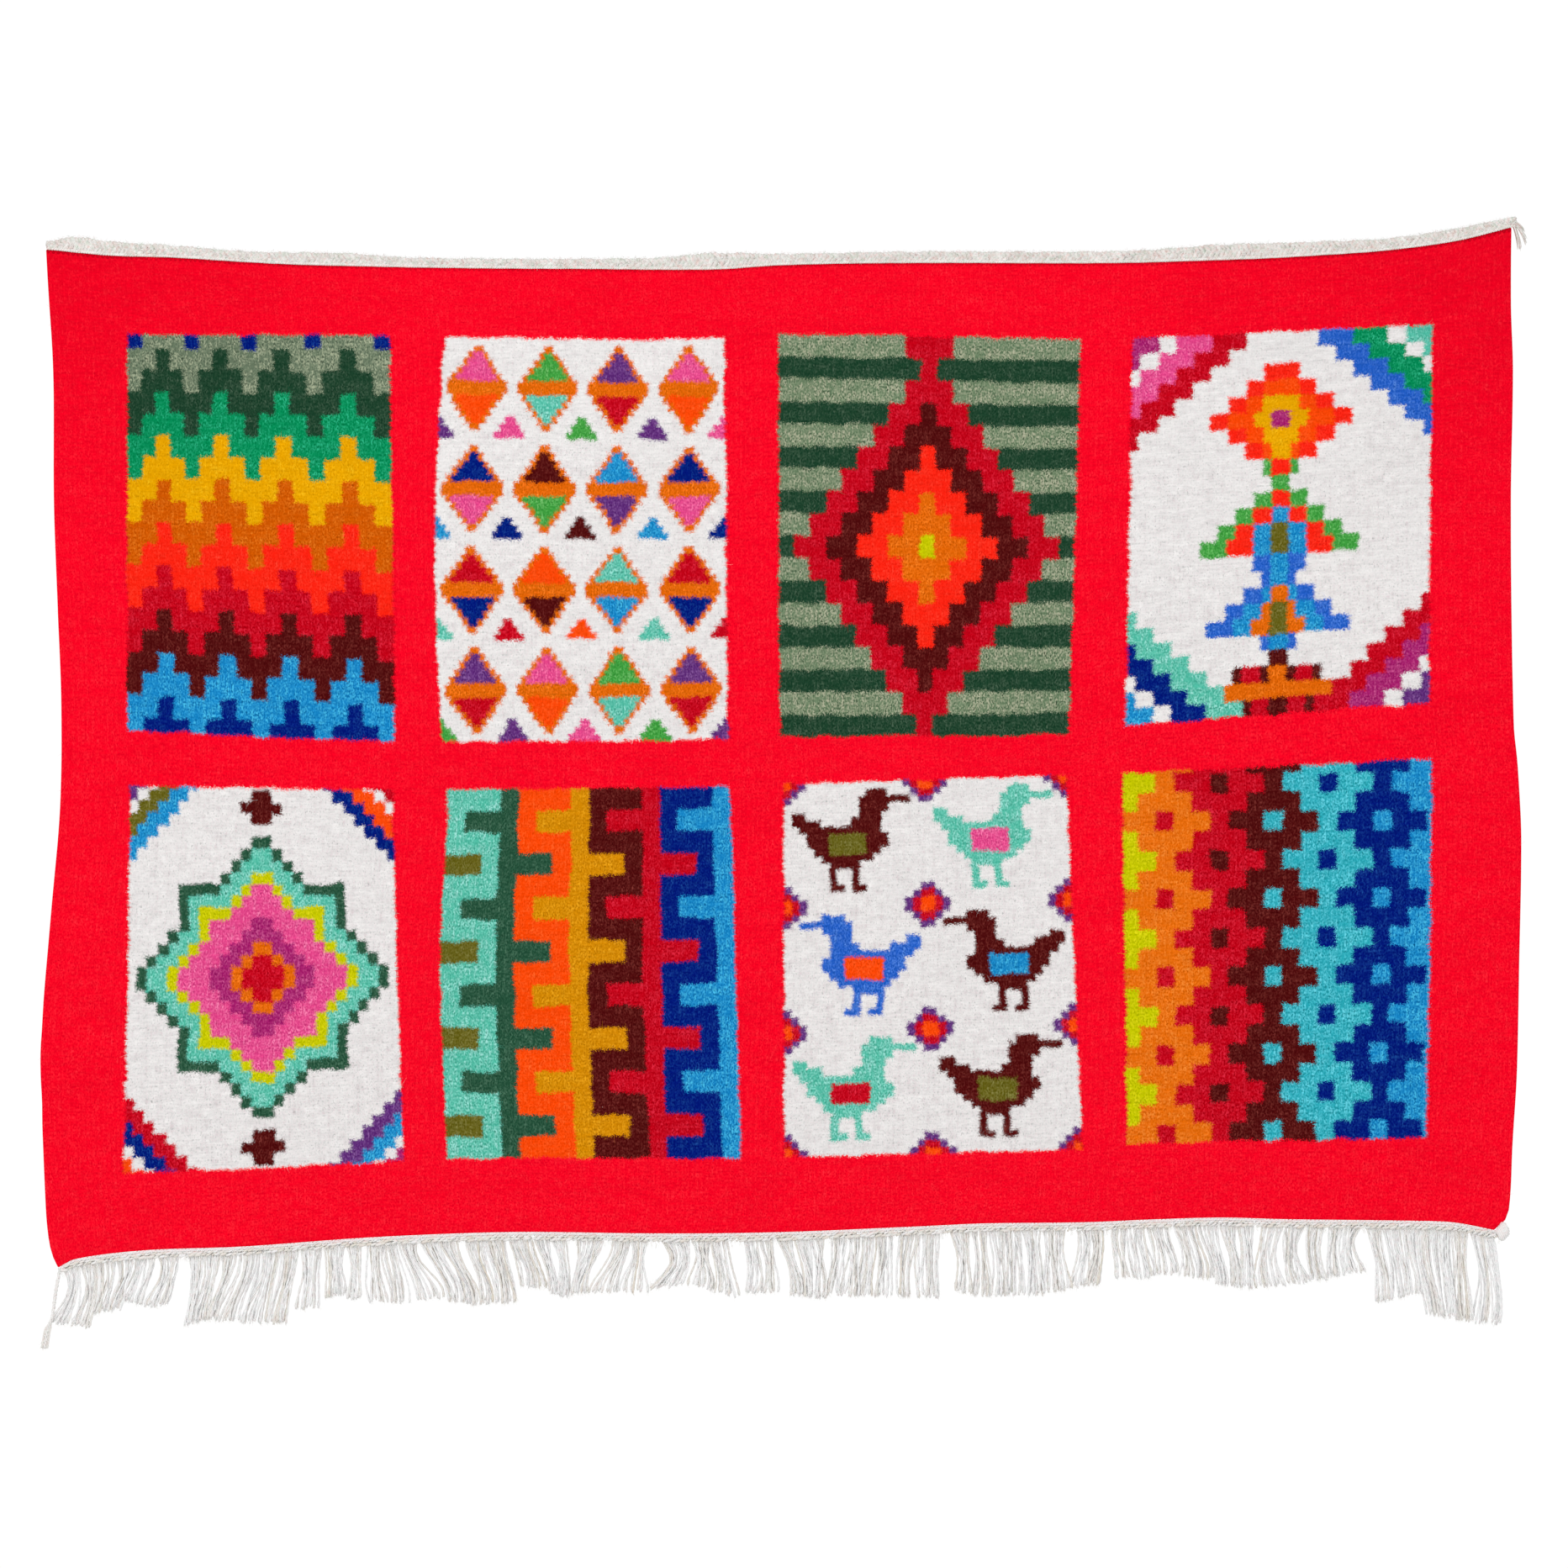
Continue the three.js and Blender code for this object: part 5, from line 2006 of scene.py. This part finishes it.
@dataclass
class Studio:
    """Pale floor, soft light and the camera at the photograph's view."""

    middle_x: float = 3.8
    middle_z: float = -433.7
    frame_width: float = 1278.8
    face: float = 12.0
    lens: float = 135.0
    sensor: float = 36.0
    surround: float = 0.71
    seen_surround: float = 1.02
    floor_size: tuple[float, float] = (16.0, 13.6)
    floor_middle: tuple[float, float, float] = (0.0, -4.2, -1.45)
    floor_colour: tuple[float, float, float, float] = (0.9, 0.9, 0.89, 1.0)

    def build(self) -> None:
        """Makes the set."""
        scene = bpy.context.scene
        scene.view_settings.view_transform = "Standard"
        away = self.lens / self.sensor * self.frame_width * MM
        camera = bpy.data.cameras.new("camera")
        camera.lens, camera.sensor_width = self.lens, self.sensor
        camera.clip_end = 60
        holder = bpy.data.objects.new("camera", camera)
        holder.location = (self.middle_x * MM, -away - self.face * MM, self.middle_z * MM)
        holder.rotation_euler = (math.pi / 2, 0, 0)
        scene.collection.objects.link(holder)
        scene.camera = holder
        self.world(scene)
        self.lamp("key", (-2.2, -3.4, 1.9), size=2.4, power=62)
        self.lamp("fill", (2.6, -3.6, 0.2), size=3.0, power=24)
        self.floor()

    def world(self, scene: bpy.types.Scene) -> None:
        """Makes the white surround, dimmer as a light than it looks.

        Args:
            scene: the scene.
        """
        world = bpy.data.worlds.new("studio")
        world.use_nodes = True
        wiring = Wiring(world.node_tree)
        background = next(n for n in world.node_tree.nodes if n.type == "BACKGROUND")
        background.inputs["Color"].default_value = (1, 1, 1, 1)
        seen = Number(wiring, wiring.node("LightPath").outputs["Is Camera Ray"])
        strength = seen * (self.seen_surround - self.surround) + self.surround
        wiring.feed(background.inputs["Strength"], strength)
        scene.world = world

    def lamp(self, name: str, place: tuple[float, float, float], size: float, power: float) -> None:
        """Hangs a soft square lamp, aimed at the middle of the cloth.

        Args:
            name: of the lamp.
            place: x, y and z in metres.
            size: length of its sides in metres.
            power: in watts.
        """
        light = bpy.data.lights.new(name, "AREA")
        light.size, light.energy = size, power
        holder = bpy.data.objects.new(name, light)
        holder.location = place
        aim = Vector((self.middle_x * MM, 0, self.middle_z * MM)) - Vector(place)
        holder.rotation_euler = aim.to_track_quat("-Z", "Y").to_euler()
        bpy.context.scene.collection.objects.link(holder)

    def floor(self) -> None:
        """Plain pale floor, below the foot of the frame."""
        plate = bmesh.new()
        bmesh.ops.create_grid(plate, x_segments=1, y_segments=1, size=0.5)
        bmesh.ops.scale(plate, verts=plate.verts[:], vec=(*self.floor_size, 1))
        bmesh.ops.translate(plate, verts=plate.verts[:], vec=self.floor_middle)
        mesh = bpy.data.meshes.new("floor")
        plate.to_mesh(mesh)
        plate.free()
        floor = bpy.data.objects.new("floor", mesh)
        bpy.context.scene.collection.objects.link(floor)
        material = bpy.data.materials.new("pale_floor")
        material.use_nodes = True
        shader = next(node for node in material.node_tree.nodes if node.type == "BSDF_PRINCIPLED")
        shader.inputs["Base Color"].default_value = self.floor_colour
        shader.inputs["Roughness"].default_value = 0.8
        mesh.materials.append(material)


def report(piece: bpy.types.Object) -> bpy.types.Object:
    """Logs a piece and the number of its faces."""
    log.info("%s: %d faces", piece.name, len(piece.data.polygons))
    return piece


def main() -> None:
    """Builds the studio and every piece of the tapestry, in order."""
    logging.basicConfig(level=logging.INFO, format="%(name)s %(message)s")
    Studio().build()
    groups = WoolGroups()
    cloth = report(WovenField().build(groups))
    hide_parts("woven_field")
    nap = [report(piece) for piece in Nap().build(groups)]
    heading = [report(piece) for piece in Heading().build(groups)]
    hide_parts("top_heading")
    fringe = [report(piece) for piece in Fringe().build(groups)]
    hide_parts("bottom_fringe")


if __name__ == "__main__":
    main()
